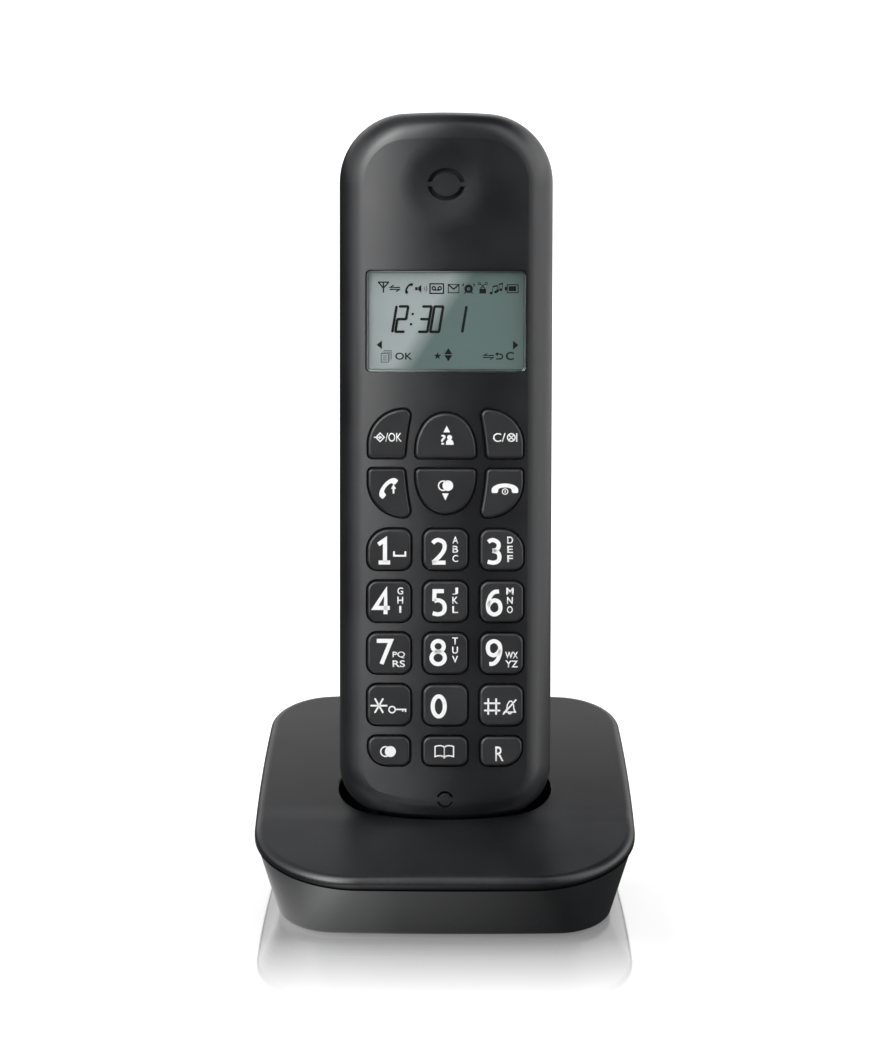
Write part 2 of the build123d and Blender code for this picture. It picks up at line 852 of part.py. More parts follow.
def make_pin_barrels():
    """Two guide barrels under the pocket's floor."""
    top = pocket_floor_v - pocket_wall
    with BuildPart() as pin_barrels:
        with BuildSketch(section.offset(top)):
            with Locations(*pad_places):
                Circle(barrel_outer / 2)
        extrude(amount=-barrel_length)
        with BuildSketch(section.offset(top)):
            with Locations(*pad_places):
                Circle(barrel_mouth / 2)
        extrude(amount=-barrel_wall, mode=Mode.SUBTRACT)
        with BuildSketch(section.offset(top - barrel_wall)):
            with Locations(*pad_places):
                Circle(barrel_inner / 2)
        extrude(amount=2 * barrel_wall - barrel_length, mode=Mode.SUBTRACT)
    save(pin_barrels.part, "pin_barrels")


def make_charge_pins():
    """Two spring-loaded pins that meet the handset's charging pads."""
    top = pad_level - pin_gap
    mouth = pocket_floor_v - pocket_wall - barrel_wall
    lowest = mouth - (barrel_length - 2 * barrel_wall) + pin_travel + key_seat_gap
    with BuildPart() as charge_pins:
        with BuildSketch(section.offset(lowest)):
            with Locations(*pad_places):
                Circle(pin_diameter / 2)
        extrude(amount=top - lowest)
        fillet(charge_pins.faces().group_by(up_axis)[-1].edges(), pin_round)
        with BuildSketch(section.offset(mouth - pin_gap)):
            with Locations(*pad_places):
                Circle(pin_collar_diameter / 2)
        extrude(amount=-pin_collar_height)
    save(charge_pins.part, "charge_pins")


def make_charge_pads():
    """Two metal pads in the lower end of the handset."""
    with BuildPart() as charge_pads:
        with BuildSketch(section.offset(pad_level)):
            with Locations(*pad_places):
                RectangleRounded(pad_width, pad_length, pad_round)
        extrude(amount=pad_thickness)
    save(charge_pads.part, "charge_pads")


# ------------------------------------------------------------------ handset casing


@cache
def handset_body(inset):
    """Rounded solid of the whole handset, shrunk by inset."""
    with BuildPart() as body:
        with BuildSketch(face):
            add(handset_outline(inset))
        extrude(amount=-depth_middle - pocket_reach)
        with BuildSketch(profile):
            add(handset_profile(inset))
        extrude(amount=handset_width, both=True, mode=Mode.INTERSECT)
        fillet(body.faces().sort_by(out_axis)[-1].edges(), face_round - inset)
        fillet(body.faces().sort_by(out_axis)[0].edges(), back_round - inset)
    return body.part


def ear_dish():
    """Soft hollow round the ear slots, as a solid to cut away."""
    dish_radius = (dimple_radius**2 + dimple_depth**2) / (2 * dimple_depth)
    with BuildPart() as dish:
        with Locations(handset_point(0, earpiece_v, dimple_depth - dish_radius)):
            Sphere(dish_radius)
    return dish.part


def make_front_shell():
    """Front casing with the openings of its face and the seats behind it."""
    receiver_seat = earpiece_diameter / 2 + seat_fit
    ledge_u = handset_width / 2 - handset_wall - ledge_reach / 2 + board_edge_gap
    with BuildPart() as handset_front_shell:
        add(handset_body(0))
        split(bisect_by=at_depth(handset_parting), keep=Keep.TOP)
        chamfer(handset_front_shell.faces().sort_by(out_axis)[0].edges(), seam_bevel)
        add(ear_dish(), mode=Mode.SUBTRACT)
        rim = handset_front_shell.faces().filter_by(GeomType.SPHERE)[0]
        fillet(rim.edges(), dimple_rim_round)
        add(handset_body(handset_wall), mode=Mode.SUBTRACT)
        with BuildSketch(at_depth(handset_wall)):
            for v in ledge_rows:
                with Locations((-ledge_u, v), (ledge_u, v)):
                    Rectangle(ledge_reach, ledge_length)
            with Locations((-top_post_x, top_post_v), (top_post_x, top_post_v)):
                Circle(top_post_diameter / 2)
        extrude(amount=handset_wall - board_front)
        with BuildSketch(at_depth(handset_wall)):
            with Locations((0, earpiece_v)):
                Circle(receiver_seat + rim_thickness)
                Circle(receiver_seat, mode=Mode.SUBTRACT)
        extrude(amount=-rim_height)
        with BuildSketch(at_depth(handset_wall)):
            with Locations(*case_screw_places):
                Circle(case_boss_diameter / 2)
        extrude(amount=handset_wall - case_boss_depth)
        with BuildSketch(at_depth(case_boss_depth)):
            with Locations(*case_screw_places):
                Circle((screw_diameter + screw_fit) / 2)
        extrude(amount=case_boss_depth - handset_wall - screw_end_gap, mode=Mode.SUBTRACT)
        with BuildSketch(face):
            add(window_outline(-window_fit))
        extrude(amount=-window_recess, mode=Mode.SUBTRACT)
        with BuildSketch(face):
            add(window_outline(view_margin))
        extrude(amount=-handset_wall, mode=Mode.SUBTRACT)
        with BuildSketch(face):
            for outline in key_outlines.values():
                add(outline)
            offset(amount=key_gap)
        extrude(amount=-handset_wall, mode=Mode.SUBTRACT)
        with BuildSketch(face):
            with Locations((0, earpiece_v)):
                add(ring_slots(slot_outer_x, slot_outer_y, slot_width, slot_bridge))
            with Locations((0, mic_v)):
                add(ring_slots(mic_ring_radius, mic_ring_radius, mic_slot_width, slot_bridge))
        extrude(amount=-handset_wall, mode=Mode.SUBTRACT)
    save(handset_front_shell.part, "handset_front_shell")


def door_slab(grow, inner_inset):
    """Outer skin of the handset's back inside the battery cover's outline."""
    with BuildPart() as slab:
        with BuildSketch(at_depth(handset_parting)):
            add(cover_outline(grow))
        extrude(amount=-depth_middle)
        add(handset_body(inner_inset), mode=Mode.SUBTRACT)
    return slab.part


def back_seats():
    """Everything that stands inside the rear casing, cut off under its outer skin."""
    recess = cover_thickness + cover_gap
    with BuildPart() as seats:
        with BuildSketch(at_depth(handset_parting)):
            add(cover_outline(recess_floor))
        extrude(amount=-depth_middle)
        add(handset_body(recess + recess_floor), mode=Mode.SUBTRACT)
        with BuildSketch(at_depth(bay_floor - bay_wall)):
            with Locations((0, bay_middle_v)):
                Rectangle(2 * (bay_side + bay_wall), bay_high_v - bay_low_v + 2 * bay_wall)
        extrude(amount=-depth_middle)
        with BuildSketch(at_depth(case_boss_depth + key_seat_gap)):
            with Locations(*case_screw_places):
                Circle(screw_head_diameter / 2 + screw_fit + rim_thickness)
        extrude(amount=-depth_middle)
        with BuildSketch(at_depth(ringer_back - rim_height)):
            with Locations((0, ringer_v)):
                Circle(ringer_diameter / 2 + seat_fit + rim_thickness)
                Circle(ringer_diameter / 2 + seat_fit, mode=Mode.SUBTRACT)
        extrude(amount=-depth_middle)
        add(handset_body(handset_wall - recess_floor / 2), mode=Mode.INTERSECT)
    return seats.part


def make_rear_shell():
    """Rear casing with the battery compartment, screw wells and sound holes."""
    tab_v = cover_high_v - cover_tab_length
    with BuildPart() as handset_rear_shell:
        add(handset_body(0))
        split(bisect_by=at_depth(handset_parting), keep=Keep.BOTTOM)
        chamfer(handset_rear_shell.faces().sort_by(out_axis)[-1].edges(), seam_bevel)
        add(handset_body(handset_wall), mode=Mode.SUBTRACT)
        add(back_seats())
        with BuildSketch(at_depth(bay_floor)):
            with Locations((0, bay_middle_v)):
                Rectangle(2 * bay_side, bay_high_v - bay_low_v)
        extrude(amount=-depth_middle, mode=Mode.SUBTRACT)
        add(door_slab(cover_gap, cover_thickness + cover_gap), mode=Mode.SUBTRACT)
        with BuildSketch(at_depth(case_screw_seat)):
            with Locations(*case_screw_places):
                Circle(screw_head_diameter / 2 + screw_fit)
        extrude(amount=-depth_middle, mode=Mode.SUBTRACT)
        with BuildSketch(at_depth(case_boss_depth)):
            with Locations(*case_screw_places):
                Circle((screw_diameter + screw_fit) / 2)
        extrude(amount=case_boss_depth - case_screw_seat, mode=Mode.SUBTRACT)
        with BuildSketch(at_depth(case_screw_seat)):
            with Locations((0, tab_v)):
                Rectangle(cover_tab_width + 2 * cover_tab_fit, cover_tab_length + 2 * cover_tab_fit)
        extrude(amount=-depth_middle, mode=Mode.SUBTRACT)
        with BuildSketch(at_depth(ringer_back)):
            with Locations((0, ringer_v)):
                Circle(ringer_hole / 2)
                with PolarLocations(ringer_hole_ring, ringer_hole_count):
                    Circle(ringer_hole / 2)
        extrude(amount=-depth_middle, mode=Mode.SUBTRACT)
        with BuildSketch(section.offset(pad_level + pad_thickness)):
            with Locations(*pad_places):
                Rectangle(pad_width + 2 * pad_fit, pad_length + 2 * pad_fit)
        extrude(amount=-pocket_reach, mode=Mode.SUBTRACT)
    save(handset_rear_shell.part, "handset_rear_shell")


def cover_tab():
    """Tab at the cover's upper end, from inside the cover's wall towards the face."""
    tab_v = cover_high_v - cover_tab_length
    with BuildPart() as tab:
        with BuildSketch(at_depth(back_depth(tab_v) - cover_thickness - cover_tab_depth)):
            with Locations((0, tab_v)):
                Rectangle(cover_tab_width, cover_tab_length)
        extrude(amount=-depth_middle)
        add(handset_body(cover_thickness / 2), mode=Mode.INTERSECT)
    return tab.part


def make_battery_cover():
    """Clip-on cover over the batteries, with the tab that snaps in at its upper end."""
    with BuildPart() as battery_cover:
        add(handset_body(0))
        with BuildSketch(at_depth(handset_parting)):
            add(cover_outline(0))
        extrude(amount=-depth_middle, mode=Mode.INTERSECT)
        add(handset_body(cover_thickness), mode=Mode.SUBTRACT)
        add(cover_tab())
    save(battery_cover.part, "battery_cover")


# ------------------------------------------------------------------ batteries


def make_battery_cells():
    """Two cells side by side, laid opposite ways round."""
    with BuildPart() as battery_cells:
        for side in (-1, 1):
            low = bay_middle_v + side * (bay_middle_v - cell_low_v)
            with BuildSketch(section.offset(low)):
                with Locations((-side * cell_pitch / 2, cell_depth)):
                    Circle(cell_diameter / 2)
            extrude(amount=-side * cell_length)
            with BuildSketch(section.offset(low - side * cell_length)):
                with Locations((-side * cell_pitch / 2, cell_depth)):
                    Circle(cell_nub_diameter / 2)
            extrude(amount=-side * cell_nub_length)
    save(battery_cells.part, "battery_cells")


def make_battery_plates():
    """Contact plate at each end of each cell."""
    plate = cell_diameter - 2 * cell_gap
    with BuildPart() as battery_plates:
        for v in (bay_low_v, bay_high_v - contact_plate):
            with BuildSketch(section.offset(v)):
                for side in (-1, 1):
                    with Locations((side * cell_pitch / 2, cell_depth)):
                        Rectangle(plate, plate)
            extrude(amount=contact_plate)
    save(battery_plates.part, "battery_plates")


def make_battery_springs():
    """Coil spring at the negative end of each cell."""
    height = spring_length - spring_wire - cell_gap
    with BuildPart() as battery_springs:
        for side in (-1, 1):
            start_v = bay_low_v + contact_plate + spring_wire / 2
            if side > 0:
                start_v = bay_high_v - contact_plate - spring_wire / 2
            middle = handset_point(-side * cell_pitch / 2, start_v, cell_depth)
            with BuildLine() as coil:
                Helix(
                    height / spring_turns, height, spring_diameter / 2, center=middle, direction=axis_up * -side
                )
            with BuildSketch(Plane(origin=coil.line @ 0, z_dir=coil.line % 0)):
                Circle(spring_wire / 2)
            sweep(path=coil.line, is_frenet=True)
    save(battery_springs.part, "battery_springs")


# ------------------------------------------------------------------ display


def make_display_window():
    """Clear window in its recess, bevelled round its edge."""
    with BuildPart() as display_window:
        with BuildSketch(at_depth(window_recess - key_seat_gap)):
            add(window_outline(0))
        extrude(amount=window_thickness)
        chamfer(display_window.faces().sort_by(out_axis)[-1].edges(), window_bevel)
    save(display_window.part, "display_window")


def framed(width, height):
    """Rectangle centred on the display."""
    with BuildSketch() as outline:
        with Locations((0, window_v)):
            Rectangle(width, height)
    return outline.sketch


def make_display_panel():
    """Liquid-crystal panel behind the window."""
    with BuildPart() as display_panel:
        with BuildSketch(at_depth(handset_wall + panel_gap)):
            add(framed(panel_width, panel_height))
        extrude(amount=-panel_thickness)
    save(display_panel.part, "display_panel")


def make_display_frame():
    """Frame that holds the panel against the casing."""
    inner_width = panel_width + 2 * frame_fit
    inner_height = panel_height + 2 * frame_fit
    with BuildPart() as display_frame:
        with BuildSketch(at_depth(handset_wall + key_seat_gap)):
            add(framed(inner_width + 2 * frame_border, inner_height + 2 * frame_border))
            add(framed(inner_width, inner_height), mode=Mode.SUBTRACT)
        extrude(amount=2 * key_seat_gap - board_space)
    save(display_frame.part, "display_frame")


def make_display_connector():
    """Rubber strip that joins the panel to the board."""
    low_v = window_v - panel_height / 2 + connector_height / 2
    with BuildPart() as display_connector:
        with BuildSketch(at_depth(handset_wall + panel_gap + panel_thickness)):
            with Locations((0, low_v)):
                Rectangle(panel_width, connector_height)
        extrude(amount=panel_gap + panel_thickness - board_space)
    save(display_connector.part, "display_connector")


# ------------------------------------------------------------------ keypad


def make_key(name, outline):
    """Key cap with the flange that holds it behind the face and a plunger under it."""
    centre = key_centres[name]
    with BuildPart() as key:
        with BuildSketch(at_depth(key_seat)):
            add(outline)
        extrude(amount=key_seat + key_rise)
        fillet(key.faces().sort_by(out_axis)[-1].edges(), key_round)
        with BuildSketch(at_depth(key_seat)):
            add(outline)
            offset(amount=key_gap + key_flange)
        extrude(amount=-key_flange_thickness)
        with BuildSketch(at_depth(key_seat + key_flange_thickness)):
            with Locations((centre.X, centre.Y)):
                Circle(plunger_diameter / 2)
        extrude(amount=-plunger_length)
    save(key.part, name)


def make_keypad_domes():
    """One snap dome on the board under each key."""
    with BuildPart() as keypad_domes:
        with BuildSketch(at_depth(board_front)):
            with Locations(*[(centre.X, centre.Y) for centre in key_centres.values()]):
                Circle(dome_diameter / 2)
        extrude(amount=dome_height)
    save(keypad_domes.part, "keypad_domes")


def make_keypad_membrane():
    """Rubber sheet between the keys and the domes."""
    with BuildPart() as keypad_membrane:
        with BuildSketch(at_depth(board_front - dome_height - layer_gap)):
            with Locations((0, (membrane_low_v + membrane_high_v) / 2)):
                RectangleRounded(membrane_width, membrane_high_v - membrane_low_v, membrane_corner)
        extrude(amount=membrane_thickness)
    save(keypad_membrane.part, "keypad_membrane")


# ------------------------------------------------------------------ handset board


def make_handset_board():
    """Main circuit board of the handset, cleared round the screw bosses."""
    middle = board_top / 2
    with BuildPart() as handset_board:
        with BuildSketch(at_depth(board_front)):
            add(handset_outline(handset_wall + board_edge_gap))
            with Locations((0, middle)):
                Rectangle(handset_width, board_top, mode=Mode.INTERSECT)
            with Locations(*case_screw_places):
                Circle(case_boss_diameter / 2 + seat_fit, mode=Mode.SUBTRACT)
        extrude(amount=-handset_board_thickness)
    save(handset_board.part, "handset_board")


def make_behind_board(name, v, width, length, height):
    """Block-shaped component on the back of the handset's board."""
    with BuildPart() as component:
        with BuildSketch(at_depth(board_back)):
            with Locations((0, v)):
                Rectangle(width, length)
        extrude(amount=-height)
    save(component.part, name)


def make_round_unit(name, v, front_depth, diameter, height):
    """Round sound unit: earpiece, microphone or ringer."""
    with BuildPart() as unit:
        with BuildSketch(at_depth(front_depth)):
            with Locations((0, v)):
                Circle(diameter / 2)
        extrude(amount=-height)
        chamfer(unit.faces().sort_by(out_axis)[-1].edges(), seat_fit)
    save(unit.part, name)


def make_handset_screws():
    """Two screws from the rear casing into the bosses of the front one."""
    with BuildPart() as handset_screws:
        with BuildSketch(at_depth(case_screw_seat)):
            with Locations(*case_screw_places):
                Circle(screw_diameter / 2)
        extrude(amount=case_screw_seat - handset_wall - 2 * screw_end_gap)
        with BuildSketch(at_depth(case_screw_seat)):
            with Locations(*case_screw_places):
                Circle(screw_head_diameter / 2)
        extrude(amount=-screw_head_height)
        with BuildSketch(at_depth(case_screw_seat + screw_head_height)):
            with Locations(*case_screw_places):
                Rectangle(screw_drive, screw_drive)
        extrude(amount=screw_slot, mode=Mode.SUBTRACT)
    save(handset_screws.part, "handset_screws")


# ------------------------------------------------------------------ build

make_lower_shell()
make_upper_shell()
make_base_feet()
make_base_screws()
make_base_board()
make_on_board("base_shield", shield_inset - base_board_end, shield_width, shield_length, shield_height)
make_on_board("base_chip", chip_y, chip_size, chip_size, chip_height)
make_base_capacitors()
make_base_aerial()
for side, use in ((-1, "line"), (1, "power")):
    make_socket(f"{use}_socket", side * socket_x)
    make_socket_contacts(f"{use}_contacts", side * socket_x)
make_page_button()
make_page_switch()
make_pin_barrels()
make_charge_pins()

make_front_shell()
make_rear_shell()
make_battery_cover()
make_charge_pads()
make_battery_cells()
make_battery_plates()
make_battery_springs()
make_display_window()
make_display_panel()
make_display_frame()
make_display_connector()
for key_name, key_outline in key_outlines.items():
    make_key(key_name, key_outline)
make_keypad_membrane()
make_keypad_domes()
make_handset_board()
make_behind_board(
    "handset_shield", handset_shield_v, handset_shield_width, handset_shield_length, handset_shield_height
)
make_behind_board("handset_chip", handset_chip_v, handset_chip_size, handset_chip_size, handset_chip_height)
make_behind_board(
    "handset_aerial", handset_aerial_v, handset_aerial_length, strip_thickness, handset_aerial_height
)
make_round_unit("earpiece", earpiece_v, handset_wall + key_seat_gap, earpiece_diameter, earpiece_height)
make_round_unit("microphone", mic_v, board_front - mic_height, mic_diameter, mic_height)
make_round_unit("ringer", ringer_v, ringer_back - ringer_height, ringer_diameter, ringer_height)
make_handset_screws()
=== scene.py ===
"""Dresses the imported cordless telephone: finishes, key legends, display and studio.

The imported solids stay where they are. New pieces are drawn flat in millimetres in the
handset's own coordinates (u to the right, v up its face) and then laid on the face.
"""

import json
import logging
import math
from collections.abc import Sequence
from dataclasses import dataclass, field
from enum import Enum
from typing import Any

import bpy
from mathutils import Matrix, Vector

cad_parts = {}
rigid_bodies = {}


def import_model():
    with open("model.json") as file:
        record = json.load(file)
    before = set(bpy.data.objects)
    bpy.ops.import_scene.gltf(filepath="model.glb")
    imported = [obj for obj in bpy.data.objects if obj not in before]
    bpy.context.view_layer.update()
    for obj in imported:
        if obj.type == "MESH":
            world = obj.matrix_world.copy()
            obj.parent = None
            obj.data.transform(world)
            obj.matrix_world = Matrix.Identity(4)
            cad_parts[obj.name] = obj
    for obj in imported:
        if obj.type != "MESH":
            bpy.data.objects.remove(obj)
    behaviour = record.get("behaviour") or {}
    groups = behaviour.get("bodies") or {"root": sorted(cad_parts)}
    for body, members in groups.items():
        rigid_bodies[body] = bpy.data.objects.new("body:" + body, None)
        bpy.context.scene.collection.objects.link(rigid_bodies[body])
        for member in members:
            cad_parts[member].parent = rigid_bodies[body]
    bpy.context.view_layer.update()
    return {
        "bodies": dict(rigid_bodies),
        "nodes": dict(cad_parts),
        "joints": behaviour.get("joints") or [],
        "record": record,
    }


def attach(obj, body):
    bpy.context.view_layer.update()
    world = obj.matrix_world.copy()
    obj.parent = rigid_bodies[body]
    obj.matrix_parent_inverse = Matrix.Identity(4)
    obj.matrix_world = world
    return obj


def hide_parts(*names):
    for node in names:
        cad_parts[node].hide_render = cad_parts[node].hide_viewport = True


LOG = logging.getLogger("cordless_telephone")

MM = 0.001
HANDSET_BODY = "handset"
Point = Sequence[float]
Span = tuple[float, float]
Box = tuple[float, float, float, float]
Colour = tuple[float, float, float]
Profile = tuple[Span, ...]
Mark = tuple[Any, ...]
Marks = tuple[Mark, ...]
Socket = bpy.types.NodeSocket


class Slot(Enum):
    """Material slots of the record."""

    CASING = "casing"
    KEY = "key_plastic"
    FOOT = "foot_rubber"
    MEMBRANE = "membrane_rubber"
    LENS = "lens"
    DISPLAY = "display_glass"
    BOARD = "board"
    COMPONENT = "component"
    SOCKET = "socket_plastic"
    TIN = "tin"
    SCREW = "screw_steel"
    GOLD = "gold"
    CAPACITOR = "capacitor_foil"
    UNIT = "unit_metal"
    CELL = "cell_sleeve"


class Weight(Enum):
    """Stroke weights of lettering, as the outline's offset over its height."""

    MEDIUM = 0.006
    BOLD = 0.014


@dataclass(frozen=True)
class HandsetAxes:
    """Lays drawings made in the handset's own coordinates on its face.

    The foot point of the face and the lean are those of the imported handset.
    """

    lean: float = math.radians(16.0)
    foot: tuple[float, float, float] = (0.0, -19.8 * MM, 19.6988 * MM)

    def lay(self, v: float, level: float) -> Matrix:
        """Return the transform that lays a drawing in millimetres on the face.

        Args:
            v: how far up the face the drawing's origin goes, in millimetres.
            level: its height over the face, in millimetres.

        Returns:
            The transform, which also turns millimetres into metres.
        """
        up = Vector((0, math.sin(self.lean), math.cos(self.lean)))
        out = Vector((0, -math.cos(self.lean), math.sin(self.lean)))
        turn = Matrix((Vector((1, 0, 0)), up, out)).transposed().to_4x4()
        return Matrix.Translation(self.foot) @ turn @ Matrix.Scale(MM, 4) @ Matrix.Translation((0, v, level))


AXES = HandsetAxes()


# ---------------------------------------------------------------- operators


def deselect_all() -> None:
    """Leave nothing selected, so an operator acts on what is picked next."""
    bpy.ops.object.select_all(action="DESELECT")


def pick(*objects: bpy.types.Object) -> None:
    """Select only these objects and make the first one active.

    Args:
        objects: what to select.
    """
    deselect_all()
    for chosen in objects:
        chosen.select_set(True)
    bpy.context.view_layer.objects.active = objects[0]


def bake_place(piece: bpy.types.Object, place: Matrix) -> None:
    """Move a piece's mesh into place and leave its object at the origin.

    Args:
        piece: mesh object whose own transform is folded into its mesh first.
        place: further transform for the mesh.
    """
    pick(piece)
    bpy.ops.object.transform_apply(location=True, rotation=True, scale=True)
    piece.data.transform(place)
    piece.data.update()


def apply_all(piece: bpy.types.Object) -> None:
    """Apply the piece's modifiers in their order.

    Args:
        piece: mesh object whose modifiers are applied.
    """
    pick(piece)
    for modifier in list(piece.modifiers):
        bpy.ops.object.modifier_apply(modifier=modifier.name)


def join(pieces: list[bpy.types.Object]) -> bpy.types.Object:
    """Join mesh objects into the first one.

    Args:
        pieces: the mesh objects, of which the first takes in the others.

    Returns:
        The joined object.
    """
    pick(*pieces)
    if len(pieces) > 1:
        bpy.ops.object.join()
    return bpy.context.view_layer.objects.active


# ---------------------------------------------------------------- flat drawings


def rim(centre: Point, half_width: float, half_height: float, angles: Sequence[float]) -> list[Point]:
    """Return the points of an upright ellipse at these angles, in radians."""
    return [(centre[0] + half_width * math.cos(a), centre[1] + half_height * math.sin(a)) for a in angles]


def ring(centre: Point, half_width: float, half_height: float, sides: int = 32) -> tuple[Point, ...]:
    """Return the points round a closed ellipse, the first once more at the end."""
    points = rim(centre, half_width, half_height, [math.tau * i / sides for i in range(sides)])
    return (*points, points[0])


@dataclass
class Lettering:
    """One word or sign and the box that it fills, in millimetres."""

    text: str
    box: Box
    weight: Weight = Weight.MEDIUM
    curve_steps: int = 6

    def mesh_object(self) -> bpy.types.Object:
        """Build the lettering as a flat mesh.

        Returns:
            A mesh object that fills the box.
        """
        deselect_all()
        bpy.ops.object.text_add()
        letters = bpy.context.view_layer.objects.active
        letters.data.body = self.text
        letters.data.resolution_u = self.curve_steps
        letters.data.offset = self.weight.value
        letters.data.fill_mode = "FRONT"
        pick(letters)
        bpy.ops.object.convert(target="MESH")
        flat = bpy.context.view_layer.objects.active
        corners = [v.co for v in flat.data.vertices]
        low_x, high_x = min(c.x for c in corners), max(c.x for c in corners)
        low_y, high_y = min(c.y for c in corners), max(c.y for c in corners)
        u0, v0, u1, v1 = self.box
        scale = Matrix.Diagonal(((u1 - u0) / (high_x - low_x), (v1 - v0) / (high_y - low_y), 1.0, 1.0))
        flat.data.transform(Matrix.Translation((u0, v0, 0)) @ scale @ Matrix.Translation((-low_x, -low_y, 0)))
        return flat


@dataclass(frozen=True)
class Stroke:
    """One stroke of a figure, in a box of one by one; a smooth one runs through its points."""

    points: tuple[Point, ...]
    smooth: bool = False

    def samples(self, steps: int = 6) -> list[Point]:
        """Find the points that the stroke is drawn through, on a Catmull-Rom curve if smooth.

        Args:
            steps: points on each stretch of the curve.

        Returns:
            The points, from the first to the last.
        """
        if not self.smooth:
            return list(self.points)
        ends = (self.points[0], *self.points, self.points[-1])
        found = []
        for a, b, c, d in zip(ends, ends[1:], ends[2:], ends[3:]):
            for step in range(steps):
                t = step / steps
                found.append(tuple(
                    0.5 * (2 * q + (r - p) * t + (2 * p - 5 * q + 4 * r - s) * t**2 + (3 * q - p - 3 * r + s) * t**3)
                    for p, q, r, s in zip(a, b, c, d)
                ))
        return found + [self.points[-1]]


SIX = (
    (0.86, 0.99), (0.5, 0.96), (0.19, 0.76), (0.03, 0.4), (0.13, 0.12), (0.5, 0.0), (0.87, 0.1), (0.97, 0.31),
    (0.85, 0.53), (0.52, 0.61), (0.2, 0.5), (0.06, 0.36),
)
TWO_NECK = ((0.02, 0.86), (0.22, 0.97), (0.5, 1.0), (0.84, 0.9), (0.93, 0.71), (0.82, 0.49), (0.5, 0.25), (0.04, 0.0))
THREE_TOP = ((0.04, 0.92), (0.25, 0.99), (0.5, 1.0), (0.83, 0.9), (0.9, 0.75), (0.77, 0.59), (0.4, 0.53))
THREE_BOWL = ((0.4, 0.53), (0.82, 0.46), (0.97, 0.27), (0.84, 0.07), (0.45, 0.0), (0.0, 0.05))
FIVE_BOWL = ((0.12, 0.57), (0.45, 0.61), (0.83, 0.51), (0.97, 0.3), (0.84, 0.08), (0.42, 0.0), (0.0, 0.05))

FIGURES: dict[str, tuple[Stroke, ...]] = {
    "0": (Stroke(ring((0.5, 0.5), 0.5, 0.5)),),
    "1": (Stroke(((0.0, 0.8), (0.56, 1.0), (0.56, 0.0))), Stroke(((0.02, 0.0), (1.0, 0.0)))),
    "2": (Stroke(TWO_NECK, True), Stroke(((0.0, 0.0), (1.0, 0.0)))),
    "3": (Stroke(THREE_TOP, True), Stroke(THREE_BOWL, True)),
    "4": (Stroke(((1.0, 0.27), (0.0, 0.27), (0.72, 1.0), (0.72, 0.0))),),
    "5": (Stroke(((0.9, 1.0), (0.14, 1.0), (0.12, 0.57))), Stroke(FIVE_BOWL, True)),
    "6": (Stroke(SIX, True),),
    "7": (Stroke(((0.0, 1.0), (0.98, 1.0), (0.33, 0.0))),),
    "8": (Stroke(ring((0.5, 0.77), 0.41, 0.23)), Stroke(ring((0.5, 0.27), 0.49, 0.27))),
    "9": (Stroke(tuple((1 - x, 1 - y) for x, y in SIX), True),),
}


